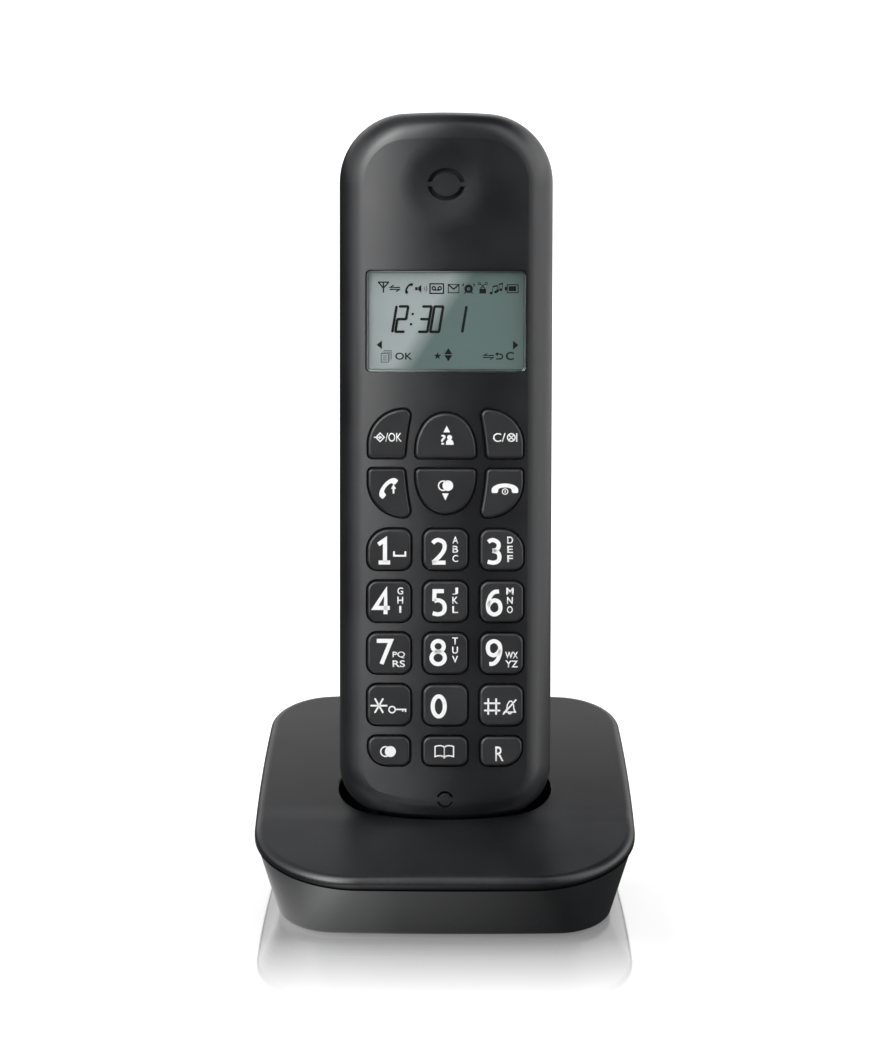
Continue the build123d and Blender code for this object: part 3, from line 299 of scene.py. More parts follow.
@dataclass
class FlatArt:
    """Flat marks drawn in millimetres, u to the right and v up."""

    outlines: list[list[Point]] = field(default_factory=list)
    words: list[Lettering] = field(default_factory=list)
    sharpest_mitre: float = 0.4
    merge_reach: float = 0.0005

    def drawn(self, marks: Marks) -> "FlatArt":
        """Add marks, each of them a method of this class with what it is given.

        Args:
            marks: the marks in their order.

        Returns:
            This drawing.
        """
        for draw, *values in marks:
            draw(self, *values)
        return self

    def polygon(self, points: Sequence[Point]) -> None:
        """Add a filled outline."""
        self.outlines.append(list(points))

    def word(self, text: str, box: Box, weight: Weight = Weight.MEDIUM) -> None:
        """Add lettering that fills a box."""
        self.words.append(Lettering(text, box, weight))

    def figure(self, sign: str, box: Box, width: float) -> None:
        """Add a numeral drawn with strokes of one width inside a box.

        Args:
            sign: the numeral.
            box: what its strokes fill.
            width: of the strokes.
        """
        u0, v0, u1, v1 = box
        run, rise = u1 - u0 - width, v1 - v0 - width
        for stroke in FIGURES[sign]:
            stops = [(u0 + width / 2 + x * run, v0 + width / 2 + y * rise) for x, y in stroke.samples()]
            closed = stroke.points[0] == stroke.points[-1]
            self.path(stops[:-1] if closed else stops, width, closed, round_ends=False)

    def block(self, box: Box) -> None:
        """Add a filled rectangle."""
        u0, v0, u1, v1 = box
        self.polygon([(u0, v0), (u1, v0), (u1, v1), (u0, v1)])

    def frame(self, box: Box, width: float) -> None:
        """Add a rectangle's outline as a stroke."""
        u0, v0, u1, v1 = box
        self.path([(u0, v0), (u1, v0), (u1, v1), (u0, v1)], width, closed=True)

    def bar(self, start: Point, end: Point, width: float) -> None:
        """Add a straight stroke with square ends.

        Args:
            start: middle of its first end.
            end: middle of its last end.
            width: of the stroke.
        """
        a, b = Vector(start), Vector(end)
        along = b - a
        side = Vector((-along.y, along.x)).normalized() * width / 2
        self.polygon([a - side, b - side, b + side, a + side])

    def disc(self, centre: Point, radius: float, sides: int = 28) -> None:
        """Add a filled circle."""
        self.polygon(ring(centre, radius, radius, sides)[:-1])

    def arc(
        self, centre: Point, radius: float, width: float, start: float = 0.0, sweep: float = 360.0, sides: int = 28
    ) -> None:
        """Add a curved stroke.

        Args:
            centre: middle of the circle that it follows.
            radius: of the middle of the stroke.
            width: of the stroke.
            start: angle of its first end, in degrees from u.
            sweep: angle that it covers, in degrees.
            sides: number of flat stretches.
        """
        whole = abs(sweep) >= 360.0
        angles = [math.radians(start + sweep * i / sides) for i in range(sides if whole else sides + 1)]
        self.path(rim(centre, radius, radius, angles), width, closed=whole, round_ends=False)

    def path(self, points: Sequence[Point], width: float, closed: bool = False, round_ends: bool = True) -> None:
        """Add a stroke through points, mitred where it turns.

        Args:
            points: the stops of its middle line.
            width: of the stroke.
            closed: join its last point to its first.
            round_ends: give an open stroke half discs at its ends.
        """
        stops = [Vector(p) for p in points]
        count = len(stops)
        if closed:
            before, after = [stops[-1]] + stops[:-1], stops[1:] + [stops[0]]
        else:
            before, after = [2 * stops[0] - stops[1]] + stops[:-1], stops[1:] + [2 * stops[-1] - stops[-2]]
        rims = []
        for stop, last, following in zip(stops, before, after):
            into, onward = (stop - last).normalized(), (following - stop).normalized()
            along = (into + onward).normalized()
            side = Vector((-along.y, along.x))
            stretch = 1 / max(side.dot(Vector((-into.y, into.x))), self.sharpest_mitre)
            rims.append((stop + side * stretch * width / 2, stop - side * stretch * width / 2))
        for i in range(count if closed else count - 1):
            (left, right), (next_left, next_right) = rims[i], rims[(i + 1) % count]
            self.polygon([right, next_right, next_left, left])
        if round_ends and not closed:
            for (left, right), centre in ((rims[0], stops[0]), (rims[-1][::-1], stops[-1])):
                self._half_disc(centre, left, right)

    def _half_disc(self, centre: Vector, first: Vector, last: Vector, steps: int = 6) -> None:
        """Round an end of a stroke off.

        Args:
            centre: middle of the end.
            first: rim point that the bow starts from.
            last: rim point that it reaches.
            steps: flat stretches of the bow.
        """
        start = math.atan2(first.y - centre.y, first.x - centre.x)
        radius = (first - centre).length
        bow = rim(centre, radius, radius, [start + math.pi * i / steps for i in range(1, steps)])
        self.polygon([first, *bow, last])

    def receiver(self, centre: Point, size: float, turn: float) -> None:
        """Add the sign of a telephone receiver.

        Args:
            centre: its middle.
            size: half its length.
            turn: degrees that it is turned to the left from lying ends down.
        """
        middle = (0.0, -0.12)
        points = rim(middle, 1.0, 0.48, [math.pi * (1 - i / 16) for i in range(17)])
        points += [(1.0, -0.3), (0.93, -0.36), (0.6, -0.36), (0.52, -0.28)]
        points += rim(middle, 0.5, 0.18, [math.pi * i / 12 for i in range(13)])
        points += [(-0.52, -0.28), (-0.6, -0.36), (-0.93, -0.36), (-1.0, -0.3)]
        cosine, sine = math.cos(math.radians(turn)), math.sin(math.radians(turn))
        self.polygon([
            (centre[0] + size * (x * cosine - y * sine), centre[1] + size * (x * sine + y * cosine))
            for x, y in points
        ])

    def raised(self, name: str, level: float, thickness: float) -> bpy.types.Object:
        """Build the drawing as thin plates that lie on the face.

        Args:
            name: of the new piece.
            level: height of the plates' underside over the face, in millimetres.
            thickness: of the plates, in millimetres.

        Returns:
            The piece, with its place in its mesh.
        """
        flats = [lettering.mesh_object() for lettering in self.words]
        if self.outlines:
            corners = [(u, v, 0.0) for outline in self.outlines for u, v in outline]
            faces, first = [], 0
            for outline in self.outlines:
                faces.append(list(range(first, first + len(outline))))
                first += len(outline)
            mesh = bpy.data.meshes.new(name)
            mesh.from_pydata(corners, [], faces)
            drawn = bpy.data.objects.new(name, mesh)
            bpy.context.scene.collection.objects.link(drawn)
            flats.insert(0, drawn)
        piece = join(flats)
        piece.name = piece.data.name = name
        bpy.ops.object.mode_set(mode="EDIT")
        bpy.ops.mesh.select_all(action="SELECT")
        bpy.ops.mesh.remove_doubles(threshold=self.merge_reach)
        bpy.ops.mesh.select_all(action="SELECT")
        bpy.ops.mesh.extrude_region_move(TRANSFORM_OT_translate={"value": (0, 0, thickness)})
        bpy.ops.mesh.select_all(action="SELECT")
        bpy.ops.mesh.normals_make_consistent(inside=False)
        bpy.ops.object.mode_set(mode="OBJECT")
        bake_place(piece, AXES.lay(0.0, level))
        return piece


# ---------------------------------------------------------------- shader nodes


def opaque(colour: Colour) -> tuple[float, float, float, float]:
    """Return a colour with full alpha."""
    return (*colour, 1.0)


def grey(level: float) -> Colour:
    """Return a neutral colour."""
    return (level, level, level)


# Levels of a cloudy pattern between which it goes from one look to the other.
CLOUDS: Span = (0.3, 0.7)
HANDLING: Span = (0.35, 0.65)
PATCHES: Span = (0.5, 0.8)


@dataclass
class NodeSheet:
    """Adds and links the nodes of one shader tree."""

    tree: bpy.types.NodeTree

    def add(self, kind: str, **settings: Any) -> bpy.types.Node:
        """Add a node and set its properties.

        Args:
            kind: its type.
            settings: its properties by name.

        Returns:
            The new node.
        """
        node = self.tree.nodes.new(kind)
        for key, value in settings.items():
            setattr(node, key, value)
        return node

    def fill(self, node: bpy.types.Node, values: dict[Any, Any]) -> bpy.types.Node:
        """Set inputs to values, or link them where the value is an output socket.

        Args:
            node: whose inputs are set.
            values: the inputs, by name or number.

        Returns:
            The node.
        """
        for key, value in values.items():
            if isinstance(value, Socket):
                self.tree.links.new(value, node.inputs[key])
            else:
                node.inputs[key].default_value = value
        return node

    def first(self, kind: str, values: dict[Any, Any], **settings: Any) -> Socket:
        """Add a node with its inputs and return its first output."""
        return self.fill(self.add(kind, **settings), values).outputs[0]

    def mix(self, factor: Any, first: Any, second: Any) -> Socket:
        """Mix two colours and return the socket."""
        return self.fill(self.add("ShaderNodeMix", data_type="RGBA"), {0: factor, 6: first, 7: second}).outputs[2]

    def mix_shaders(self, factor: Any, first: Socket, second: Socket) -> Socket:
        """Mix two shaders and return the socket."""
        return self.first("ShaderNodeMixShader", {0: factor, 1: first, 2: second})

    def ramp(self, value: Any, low: Any, high: Any, to_low: Any = 0.0, to_high: Any = 1.0) -> Socket:
        """Map a value from one range to another and return the socket."""
        ranges = {"From Min": low, "From Max": high, "To Min": to_low, "To Max": to_high}
        return self.first("ShaderNodeMapRange", {"Value": value, **ranges})

    def math(self, operation: str, first: Any, second: Any = 0.0) -> Socket:
        """Work out one or two values and return the socket."""
        return self.first("ShaderNodeMath", {0: first, 1: second}, operation=operation)

    def times(self, *values: Any) -> Socket:
        """Multiply values.

        Args:
            values: numbers or sockets, at least one of them a socket.

        Returns:
            The socket of the product.
        """
        product = values[0]
        for value in values[1:]:
            product = self.math("MULTIPLY", product, value)
        return product

    def vector(self, operation: str, first: Any, second: Any = (0.0, 0.0, 0.0), output: str = "Vector") -> Socket:
        """Work out one or two vectors and return the named socket."""
        return self.fill(self.add("ShaderNodeVectorMath", operation=operation), {0: first, 1: second}).outputs[output]

    def split(self, vector: Socket) -> tuple[Socket, Socket, Socket]:
        """Return the three parts of a vector."""
        return tuple(self.fill(self.add("ShaderNodeSeparateXYZ"), {"Vector": vector}).outputs)

    def place(self) -> Socket:
        """Return the place on the piece, in metres."""
        return self.add("ShaderNodeTexCoord").outputs["Object"]

    def handset_place(self) -> Socket:
        """Return the place in the handset's planes: across, into the casing and along it."""
        turn = {"Vector": self.place(), "Location": AXES.foot, "Rotation": (-AXES.lean, 0.0, 0.0)}
        return self.first("ShaderNodeMapping", turn, vector_type="TEXTURE")

    def noise(self, scale: Any, detail: float, place: Socket | None = None) -> Socket:
        """Return the level of a cloudy pattern, on the piece's own place unless another is given."""
        values = {"Vector": self.place() if place is None else place, "Scale": scale, "Detail": detail}
        return self.fill(self.add("ShaderNodeTexNoise"), values).outputs["Fac"]

    def bump(self, height: Socket, strength: Any, distance: float) -> Socket:
        """Return the normal of a surface raised by a height."""
        return self.first("ShaderNodeBump", {"Height": height, "Strength": strength, "Distance": distance})

    def profile(self, value: Any, points: Profile) -> Socket:
        """Map a value through straight lines between points.

        Args:
            value: what runs from the first point to the last.
            points: each a value with its level.

        Returns:
            The socket of the level.
        """
        start, end = points[0][0], points[-1][0]
        highest = max(level for _, level in points)
        node = self.fill(self.add("ShaderNodeValToRGB"), {0: self.ramp(value, start, end)})
        stops = node.color_ramp.elements
        stops[0].position, stops[1].position = 0.0, 1.0
        for place, level in points:
            at_end = place in (start, end)
            stop = stops[0 if place == start else -1] if at_end else stops.new((place - start) / (end - start))
            stop.color = opaque(grey(level / highest))
        return self.times(node.outputs["Color"], highest)


class SharedEffects:
    """Shader node groups that more than one finish uses."""

    handling_scale: float = 70.0
    grain_depth: float = 0.03
    streak_stretch: tuple[float, float, float] = (1.0, 0.08, 1.0)
    patch_scale: float = 240.0

    def __init__(self) -> None:
        """Build the groups."""
        self.grain = self._moulded_grain()
        self.brushing = self._brushing()

    @staticmethod
    def _new_group(name: str, inputs: dict[str, Any], outputs: dict[str, str]) -> tuple[NodeSheet, Any]:
        """Make a group with named sockets.

        Args:
            name: of the group.
            inputs: socket name to default value, a number or a colour.
            outputs: socket name to the last part of its type, such as Float.

        Returns:
            A sheet to fill the group with and the sockets of what it is given.
        """
        group = bpy.data.node_groups.new(name, "ShaderNodeTree")
        for key, value in inputs.items():
            kind = "Float" if isinstance(value, float) else "Color"
            socket = group.interface.new_socket(name=key, in_out="INPUT", socket_type=f"NodeSocket{kind}")
            socket.default_value = value
        for key, kind in outputs.items():
            group.interface.new_socket(name=key, in_out="OUTPUT", socket_type=f"NodeSocket{kind}")
        sheet = NodeSheet(group)
        return sheet, sheet.add("NodeGroupInput").outputs

    def _moulded_grain(self) -> bpy.types.NodeTree:
        """Build the fine leathery grain of a spark-eroded mould, with handling marks.

        Returns:
            The group.
        """
        sheet, given = self._new_group(
            "moulded_grain",
            {
                "Dark": opaque(grey(0.01)), "Light": opaque(grey(0.02)), "Grain Scale": 3000.0, "Relief": 0.2,
                "Roughness Low": 0.35, "Roughness High": 0.5,
            },
            {"Color": "Color", "Roughness": "Float", "Normal": "Vector"},
        )
        grain = sheet.first("ShaderNodeTexVoronoi", {"Vector": sheet.place(), "Scale": given["Grain Scale"]})
        marks = sheet.ramp(sheet.noise(self.handling_scale, 5.0), *HANDLING)
        results = {
            "Color": sheet.mix(marks, given["Dark"], given["Light"]),
            "Roughness": sheet.ramp(marks, 0.0, 1.0, given["Roughness Low"], given["Roughness High"]),
            "Normal": sheet.bump(grain, given["Relief"], self.grain_depth * MM),
        }
        sheet.fill(sheet.add("NodeGroupOutput"), results)
        return sheet.tree

    def _brushing(self) -> bpy.types.NodeTree:
        """Build the drawn streaks and faint tarnish of sheet metal.

        Returns:
            The group.
        """
        sheet, given = self._new_group(
            "drawn_metal",
            {
                "Bright": opaque(grey(0.7)), "Tarnish": (0.4, 0.38, 0.35, 1.0), "Roughness Low": 0.2,
                "Roughness High": 0.4, "Streak Scale": 900.0,
            },
            {"Color": "Color", "Roughness": "Float", "Height": "Float"},
        )
        stretched = sheet.first("ShaderNodeMapping", {"Vector": sheet.place(), "Scale": self.streak_stretch})
        streaks = sheet.noise(given["Streak Scale"], 3.0, stretched)
        patches = sheet.ramp(sheet.noise(self.patch_scale, 4.0), *PATCHES)
        results = {
            "Color": sheet.mix(patches, given["Bright"], given["Tarnish"]),
            "Roughness": sheet.ramp(streaks, 0.0, 1.0, given["Roughness Low"], given["Roughness High"]),
            "Height": streaks,
        }
        sheet.fill(sheet.add("NodeGroupOutput"), results)
        return sheet.tree


# ---------------------------------------------------------------- finishes


@dataclass(frozen=True)
class Finish:
    """Base of the finishes: one Principled shader, with the inputs that a finish gives it."""

    name: str

    def inputs(self, sheet: NodeSheet, effects: SharedEffects) -> dict[str, Any]:
        """Return the shader's inputs, as values or as sockets of nodes added to the sheet."""
        raise NotImplementedError

    def surface(self, sheet: NodeSheet, shader: Socket) -> Socket:
        """Return what the material shows, which is the plain shader unless a finish adds to it."""
        return shader

    def material(self, effects: SharedEffects) -> bpy.types.Material:
        """Make the material of the finish.

        Args:
            effects: the shared groups.

        Returns:
            The material.
        """
        material = bpy.data.materials.new(self.name)
        material.use_nodes = True
        sheet = NodeSheet(material.node_tree)
        sheet.tree.nodes.clear()
        shader = sheet.first("ShaderNodeBsdfPrincipled", self.inputs(sheet, effects))
        sheet.fill(sheet.add("ShaderNodeOutputMaterial"), {"Surface": self.surface(sheet, shader)})
        return material


@dataclass(frozen=True)
class Crown:
    """Very slight crown of the handset's face, as a bend of its normals; lengths in millimetres."""

    bend: float = 0.45
    half_width: float = 30.0
    front: Span = (-2.0, -1.0)
    rear: Span = (2.0, 8.0)
    foot: Span = (0.0, 3.0)

    def bent(self, sheet: NodeSheet, normal: Socket) -> Socket:
        """Bend the normal across the face.

        Args:
            sheet: of the material.
            normal: the normal to bend.

        Returns:
            The bent normal.
        """
        across, inwards, along = sheet.split(sheet.handset_place())
        reach = self.half_width * MM
        tilt = sheet.times(
            sheet.ramp(across, -reach, reach, -self.bend, self.bend),
            sheet.ramp(inwards, *(edge * MM for edge in self.front)),
            sheet.ramp(inwards, *(edge * MM for edge in self.rear), 1.0, 0.0),
            sheet.ramp(along, *(edge * MM for edge in self.foot)),
        )
        push = sheet.first("ShaderNodeCombineXYZ", {"X": tilt})
        return sheet.vector("NORMALIZE", sheet.vector("ADD", normal, push))


@dataclass(frozen=True)
class SeamShadow:
    """Painted shadow of the gap along the base's parting plane, which rises to the rear, fading out up the lid's edge;
    lengths in millimetres.
    """

    middle_height: float = 17.5
    slope: float = math.radians(4.6)
    low: float = -0.15
    high: float = 0.35
    soft_edge: float = 0.05
    fade: float = 1.6
    clear_radius: Span = (35.5, 36.0)
    # Colour of the painted shadow in the gap.
    shade: Colour = (0.002, 0.002, 0.0022)

    def share(self, sheet: NodeSheet) -> Socket:
        """Find the gap's painted shadow.

        Args:
            sheet: of the material.

        Returns:
            One in the gap's painted shadow, fading to nought up the lid's edge, and nought elsewhere, also inside the
            clear radius.
        """
        place = sheet.place()
        normal = (0.0, -math.sin(self.slope), math.cos(self.slope))
        above = sheet.vector("DOT_PRODUCT", place, normal, output="Value")
        level = self.middle_height * math.cos(self.slope)
        low, high = (level + self.low) * MM, (level + self.high) * MM
        reach = sheet.vector("LENGTH", sheet.vector("MULTIPLY", place, (1.0, 1.0, 0.0)), output="Value")
        return sheet.times(
            sheet.ramp(above, low - self.soft_edge * MM, low),
            sheet.ramp(above, high, high + self.fade * MM, 1.0, 0.0),
            sheet.ramp(reach, *(radius * MM for radius in self.clear_radius)),
        )


@dataclass(frozen=True)
class MouldedFinish(Finish):
    """Moulded plastic or rubber with its fine grain."""

    dark: Colour
    light: Colour
    roughness: Span
    specular: float = 0.5
    grain_scale: float = 3200.0
    relief: float = 0.25
    crown: Crown | None = None
    seam_shadow: SeamShadow | None = None

    def inputs(self, sheet: NodeSheet, effects: SharedEffects) -> dict[str, Any]:
        """Return the grain's colour, roughness and normal, with the painted seam shadow and the crown where it has
        them.

        Args:
            sheet: of the material.
            effects: the shared groups.

        Returns:
            The inputs by name.
        """
        given = {
            "Dark": opaque(self.dark), "Light": opaque(self.light), "Grain Scale": self.grain_scale,
            "Relief": self.relief, "Roughness Low": self.roughness[0], "Roughness High": self.roughness[1],
        }
        grain = sheet.fill(sheet.add("ShaderNodeGroup", node_tree=effects.grain), given).outputs
        colour, normal, specular = grain["Color"], grain["Normal"], self.specular
        # Paint the seam's shadow: dark colour without specular in the gap, fading up the lid's edge.
        if self.seam_shadow:
            share = self.seam_shadow.share(sheet)
            colour = sheet.mix(share, colour, opaque(self.seam_shadow.shade))
            specular = sheet.ramp(share, 0.0, 1.0, self.specular, 0.0)
        if self.crown:
            normal = self.crown.bent(sheet, normal)
        return {
            "Base Color": colour, "Roughness": grain["Roughness"], "Normal": normal, "Specular IOR Level": specular,
        }


@dataclass(frozen=True)
class MetalFinish(Finish):
    """Drawn or plated sheet metal."""

    bright: Colour
    tarnish: Colour
    roughness: Span = (0.18, 0.38)
    streak_scale: float = 900.0
    relief: float = 0.1
    streak_depth: float = 0.02

    def inputs(self, sheet: NodeSheet, effects: SharedEffects) -> dict[str, Any]:
        """Return the streaked metal's inputs.

        Args:
            sheet: of the material.
            effects: the shared groups.

        Returns:
            The inputs by name.
        """
        given = {
            "Bright": opaque(self.bright), "Tarnish": opaque(self.tarnish), "Roughness Low": self.roughness[0],
            "Roughness High": self.roughness[1], "Streak Scale": self.streak_scale,
        }
        metal = sheet.fill(sheet.add("ShaderNodeGroup", node_tree=effects.brushing), given).outputs
        return {
            "Base Color": metal["Color"], "Roughness": metal["Roughness"], "Metallic": 1.0,
            "Normal": sheet.bump(metal["Height"], self.relief, self.streak_depth * MM),
        }


@dataclass(frozen=True)
class BoardFinish(Finish):
    """Solder resist over copper tracks."""

    name: str = "solder_resist"
    resist: Colour = (0.012, 0.085, 0.035)
    track: Colour = (0.03, 0.16, 0.06)
    track_scale: float = 260.0
    track_edge: Span = (0.05, 0.08)
    track_depth: float = 0.04
    roughness: float = 0.28
    relief: float = 0.3

    def inputs(self, sheet: NodeSheet, effects: SharedEffects) -> dict[str, Any]:
        """Return the inputs of green resist that is raised over its tracks.

        Args:
            sheet: of the material.
            effects: the shared groups, not used here.

        Returns:
            The inputs by name.
        """
        net = {"Vector": sheet.place(), "Scale": self.track_scale}
        edges = sheet.first("ShaderNodeTexVoronoi", net, feature="DISTANCE_TO_EDGE")
        mask = sheet.ramp(edges, *self.track_edge, 1.0, 0.0)
        return {
            "Base Color": sheet.mix(mask, opaque(self.resist), opaque(self.track)),
            "Roughness": self.roughness,
            "Normal": sheet.bump(mask, self.relief, self.track_depth * MM),
        }


@dataclass(frozen=True)
class LensFinish(Finish):
    """Clear hard-coated acrylic of the display's window."""

    name: str = "clear_acrylic"
    tint: Colour = (0.96, 0.98, 0.97)
    roughness: Span = (0.002, 0.008)
    specular: float = 0.25
    refraction: float = 1.45
    haze_scale: float = 90.0

    def inputs(self, sheet: NodeSheet, effects: SharedEffects) -> dict[str, Any]:
        """Return the inputs of clear acrylic with a trace of haze.

        Args:
            sheet: of the material.
            effects: the shared groups, not used here.

        Returns:
            The inputs by name.
        """
        return {
            "Base Color": opaque(self.tint),
            "Roughness": sheet.ramp(sheet.noise(self.haze_scale, 3.0), *CLOUDS, *self.roughness),
            "Specular IOR Level": self.specular,
            "Transmission Weight": 1.0,
            "IOR": self.refraction,
        }

    def surface(self, sheet: NodeSheet, shader: Socket) -> Socket:
        """Return the shader with clear shadows, so that lamps shine through the window."""
        clear = sheet.first("ShaderNodeBsdfTransparent", {})
        return sheet.mix_shaders(sheet.add("ShaderNodeLightPath").outputs["Is Shadow Ray"], shader, clear)


@dataclass(frozen=True)
class DisplayFinish(Finish):
    """Grey-green reflective face of a liquid-crystal panel, with a painted reflection of a lamp that makes it paler
    towards its upper left.
    """

    name: str = "liquid_crystal"
    plain: Colour = (0.095, 0.134, 0.13)
    # Colour of the painted reflection of a lamp on the panel's upper left.
    painted_reflection: Colour = (0.3, 0.328, 0.334)
    slant: tuple[float, float, float] = (0.841, 0.0, -0.537)
    edge: Span = (-0.0658, -0.0615)
    roughness: Span = (0.5, 0.7)
    specular: float = 0.1
    grain_scale: float = 1800.0

    def inputs(self, sheet: NodeSheet, effects: SharedEffects) -> dict[str, Any]:
        """Return the inputs of the panel's own shade and of its painted reflection, which meet along a slanting edge.

        Args:
            sheet: of the material.
            effects: the shared groups, not used here.

        Returns:
            The inputs by name.
        """
        # On one side of the slanting edge the panel shows the painted reflection of a lamp instead of its own colour.
        reach = sheet.vector("DOT_PRODUCT", sheet.handset_place(), self.slant, output="Value")
        return {
            "Base Color": sheet.mix(sheet.ramp(reach, *self.edge), opaque(self.painted_reflection), opaque(self.plain)),
            "Roughness": sheet.ramp(sheet.noise(self.grain_scale, 2.0), *CLOUDS, *self.roughness),
            "Specular IOR Level": self.specular,
        }


@dataclass(frozen=True)
class InkFinish(Finish):
    """Printed or etched marks with slight wear."""

    ink: Colour
    worn: Colour
    roughness: Span = (0.42, 0.58)
    specular: float = 0.5
    speck_scale: float = 1500.0
    wear: Span = (0.55, 0.8)

    def inputs(self, sheet: NodeSheet, effects: SharedEffects) -> dict[str, Any]:
        """Return the inputs of speckled ink.

        Args:
            sheet: of the material.
            effects: the shared groups, not used here.

        Returns:
            The inputs by name.
        """
        specks = sheet.noise(self.speck_scale, 3.0)
        return {
            "Base Color": sheet.mix(sheet.ramp(specks, *self.wear), opaque(self.ink), opaque(self.worn)),
            "Roughness": sheet.ramp(specks, *CLOUDS, *self.roughness),
            "Specular IOR Level": self.specular,
        }


@dataclass(frozen=True)
class CellFinish(Finish):
    """Shrink sleeve of a battery cell with bare metal at both ends."""

    name: str = "cell_sleeve"
    sleeve: Colour = (0.02, 0.12, 0.07)
    bare: Colour = (0.6, 0.6, 0.58)
    sleeve_ends: Span = (41.8, 84.4)
    soft_edge: float = 0.1
    roughness: Span = (0.35, 0.25)

    def inputs(self, sheet: NodeSheet, effects: SharedEffects) -> dict[str, Any]:
        """Return the inputs of a sleeve that ends at two heights along the handset.

        Args:
            sheet: of the material.
            effects: the shared groups, not used here.

        Returns:
            The inputs by name.
        """
        height = sheet.split(sheet.handset_place())[2]
        low, high = (end * MM for end in self.sleeve_ends)
        below = sheet.ramp(height, low, low + self.soft_edge * MM, 1.0, 0.0)
        above = sheet.ramp(height, high, high + self.soft_edge * MM)
        bare = sheet.math("MAXIMUM", below, above)
        return {
            "Base Color": sheet.mix(bare, opaque(self.sleeve), opaque(self.bare)),
            "Metallic": bare,
            "Roughness": sheet.ramp(bare, 0.0, 1.0, *self.roughness),
        }


# The casing carries the painted shadow along the base's seam.
CASING = MouldedFinish(
    "charcoal_plastic", (0.0058, 0.0063, 0.0078), (0.0078, 0.0085, 0.0104), (0.3, 0.38), 0.9,
    crown=Crown(), seam_shadow=SeamShadow(),
)
FINISHES: dict[Slot, Finish] = {
    Slot.CASING: CASING,
    Slot.KEY: MouldedFinish("key_plastic", (0.0095, 0.0098, 0.0112), (0.0125, 0.0128, 0.0142), (0.36, 0.44), 0.85),
    Slot.FOOT: MouldedFinish("foot_rubber", grey(0.012), grey(0.02), (0.75, 0.9), 0.3, 1400.0, 0.4),
    Slot.MEMBRANE: MouldedFinish("keypad_rubber", (0.05, 0.05, 0.055), (0.07, 0.07, 0.075), (0.6, 0.75), 0.35),
    Slot.LENS: LensFinish(),
    Slot.DISPLAY: DisplayFinish(),
    Slot.BOARD: BoardFinish(),
    Slot.COMPONENT: MouldedFinish("moulded_epoxy", grey(0.008), grey(0.014), (0.5, 0.65), 0.4),
    Slot.SOCKET: MouldedFinish("socket_plastic", grey(0.012), grey(0.018), (0.4, 0.5), 0.4),
    Slot.TIN: MetalFinish("tinned_steel", (0.62, 0.62, 0.6), (0.42, 0.41, 0.38)),
    Slot.SCREW: MetalFinish("zinc_plated_steel", grey(0.32), (0.2, 0.19, 0.17), (0.3, 0.5)),
    Slot.GOLD: MetalFinish("gold_plating", (0.83, 0.62, 0.27), (0.55, 0.38, 0.16), (0.14, 0.3)),
    Slot.CAPACITOR: MetalFinish("capacitor_foil", (0.66, 0.66, 0.68), grey(0.5), (0.25, 0.4)),
    Slot.UNIT: MetalFinish("unit_metal", (0.045, 0.045, 0.048), (0.02, 0.02, 0.022), (0.35, 0.55)),
    Slot.CELL: CellFinish(),
}
WHITE_INK = InkFinish("white_ink", grey(0.86), grey(0.72))
SEGMENT_INK = InkFinish("segment_black", (0.003, 0.0035, 0.0035), (0.005, 0.006, 0.006), (0.62, 0.78), 0.1)


class Wardrobe:
    """Makes each finish once and hands out its material."""

    def __init__(self) -> None:
        """Make the shared effects and every finish."""
        self.effects = SharedEffects()
        self.by_slot = {slot: finish.material(self.effects) for slot, finish in FINISHES.items()}
        self.white_ink = WHITE_INK.material(self.effects)
        self.segment_ink = SEGMENT_INK.material(self.effects)

    def dress_frame(self, frame: dict[str, Any]) -> None:
        """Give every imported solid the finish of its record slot.

        Args:
            frame: what the frame was loaded as.
        """
        for part in frame["record"]["subparts"]:
            solid = frame["nodes"][part["node"]]
            solid.data.materials.clear()
            solid.data.materials.append(self.by_slot[Slot(part["material_slot"])])


def settle(piece: bpy.types.Object, body: str, material: bpy.types.Material) -> None:
    """Finish a new piece and let it ride on its body.

    Args:
        piece: the finished mesh object.
        body: name of the body that it rides on.
        material: its material.
    """
    piece.data.materials.append(material)
    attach(piece, body)
    LOG.info("%s rides on %s with %d faces", piece.name, body, len(piece.data.polygons))


# ---------------------------------------------------------------- key legends


Art = FlatArt
# Widths of strokes in millimetres.
FINE, THIN, LINE, DIGIT = 0.26, 0.3, 0.42, 0.93
# Directions of the star sign's arms.
THIRDS = (0.0, math.pi / 3, math.tau / 3)


def moon(middle: Point, radius: float) -> Marks:
    """Return the redial sign, a ring behind a disc."""
    behind, before = (middle[0] - 0.45 * radius, middle[1]), (middle[0] + 0.42 * radius, middle[1])
    return (Art.arc, behind, radius * 0.88, radius * 0.24, 50.0, 260.0), (Art.disc, before, radius)


def exchange(centre: Point, reach: float, width: float) -> Marks:
    """Return two half arrows that point past each other.

    Args:
        centre: the middle between them.
        reach: half their length.
        width: of their strokes.

    Returns:
        The upper and the lower arrow.
    """
    ends = ((1.0, 0.22), (-1.0, 0.22), (-0.35, 0.62))
    return tuple(
        (Art.path, [(centre[0] + side * u * reach, centre[1] + side * v) for u, v in ends], width) for side in (1, -1)
    )


def book(middle: float, top: float, bottom: float) -> Marks:
    """Return the two pages of an open book.

    Args:
        middle: place of its back, to the right.
        top: height of the back's upper end.
        bottom: height of the back's lower end.

    Returns:
        The right page and the left page.
    """
    page = ((0.3, 0.28), (0.84, 0.42), (1.55, 0.38), (2.1, 0.2))
    pages = []
    for side in (1, -1):
        upper = [(middle + side * u, top + v) for u, v in page]
        lower = [(middle + side * u, bottom + v) for u, v in page[::-1]]
        pages.append((Art.path, [(middle, top), *upper, *lower, (middle, bottom)], 0.28, True))
    return tuple(pages)


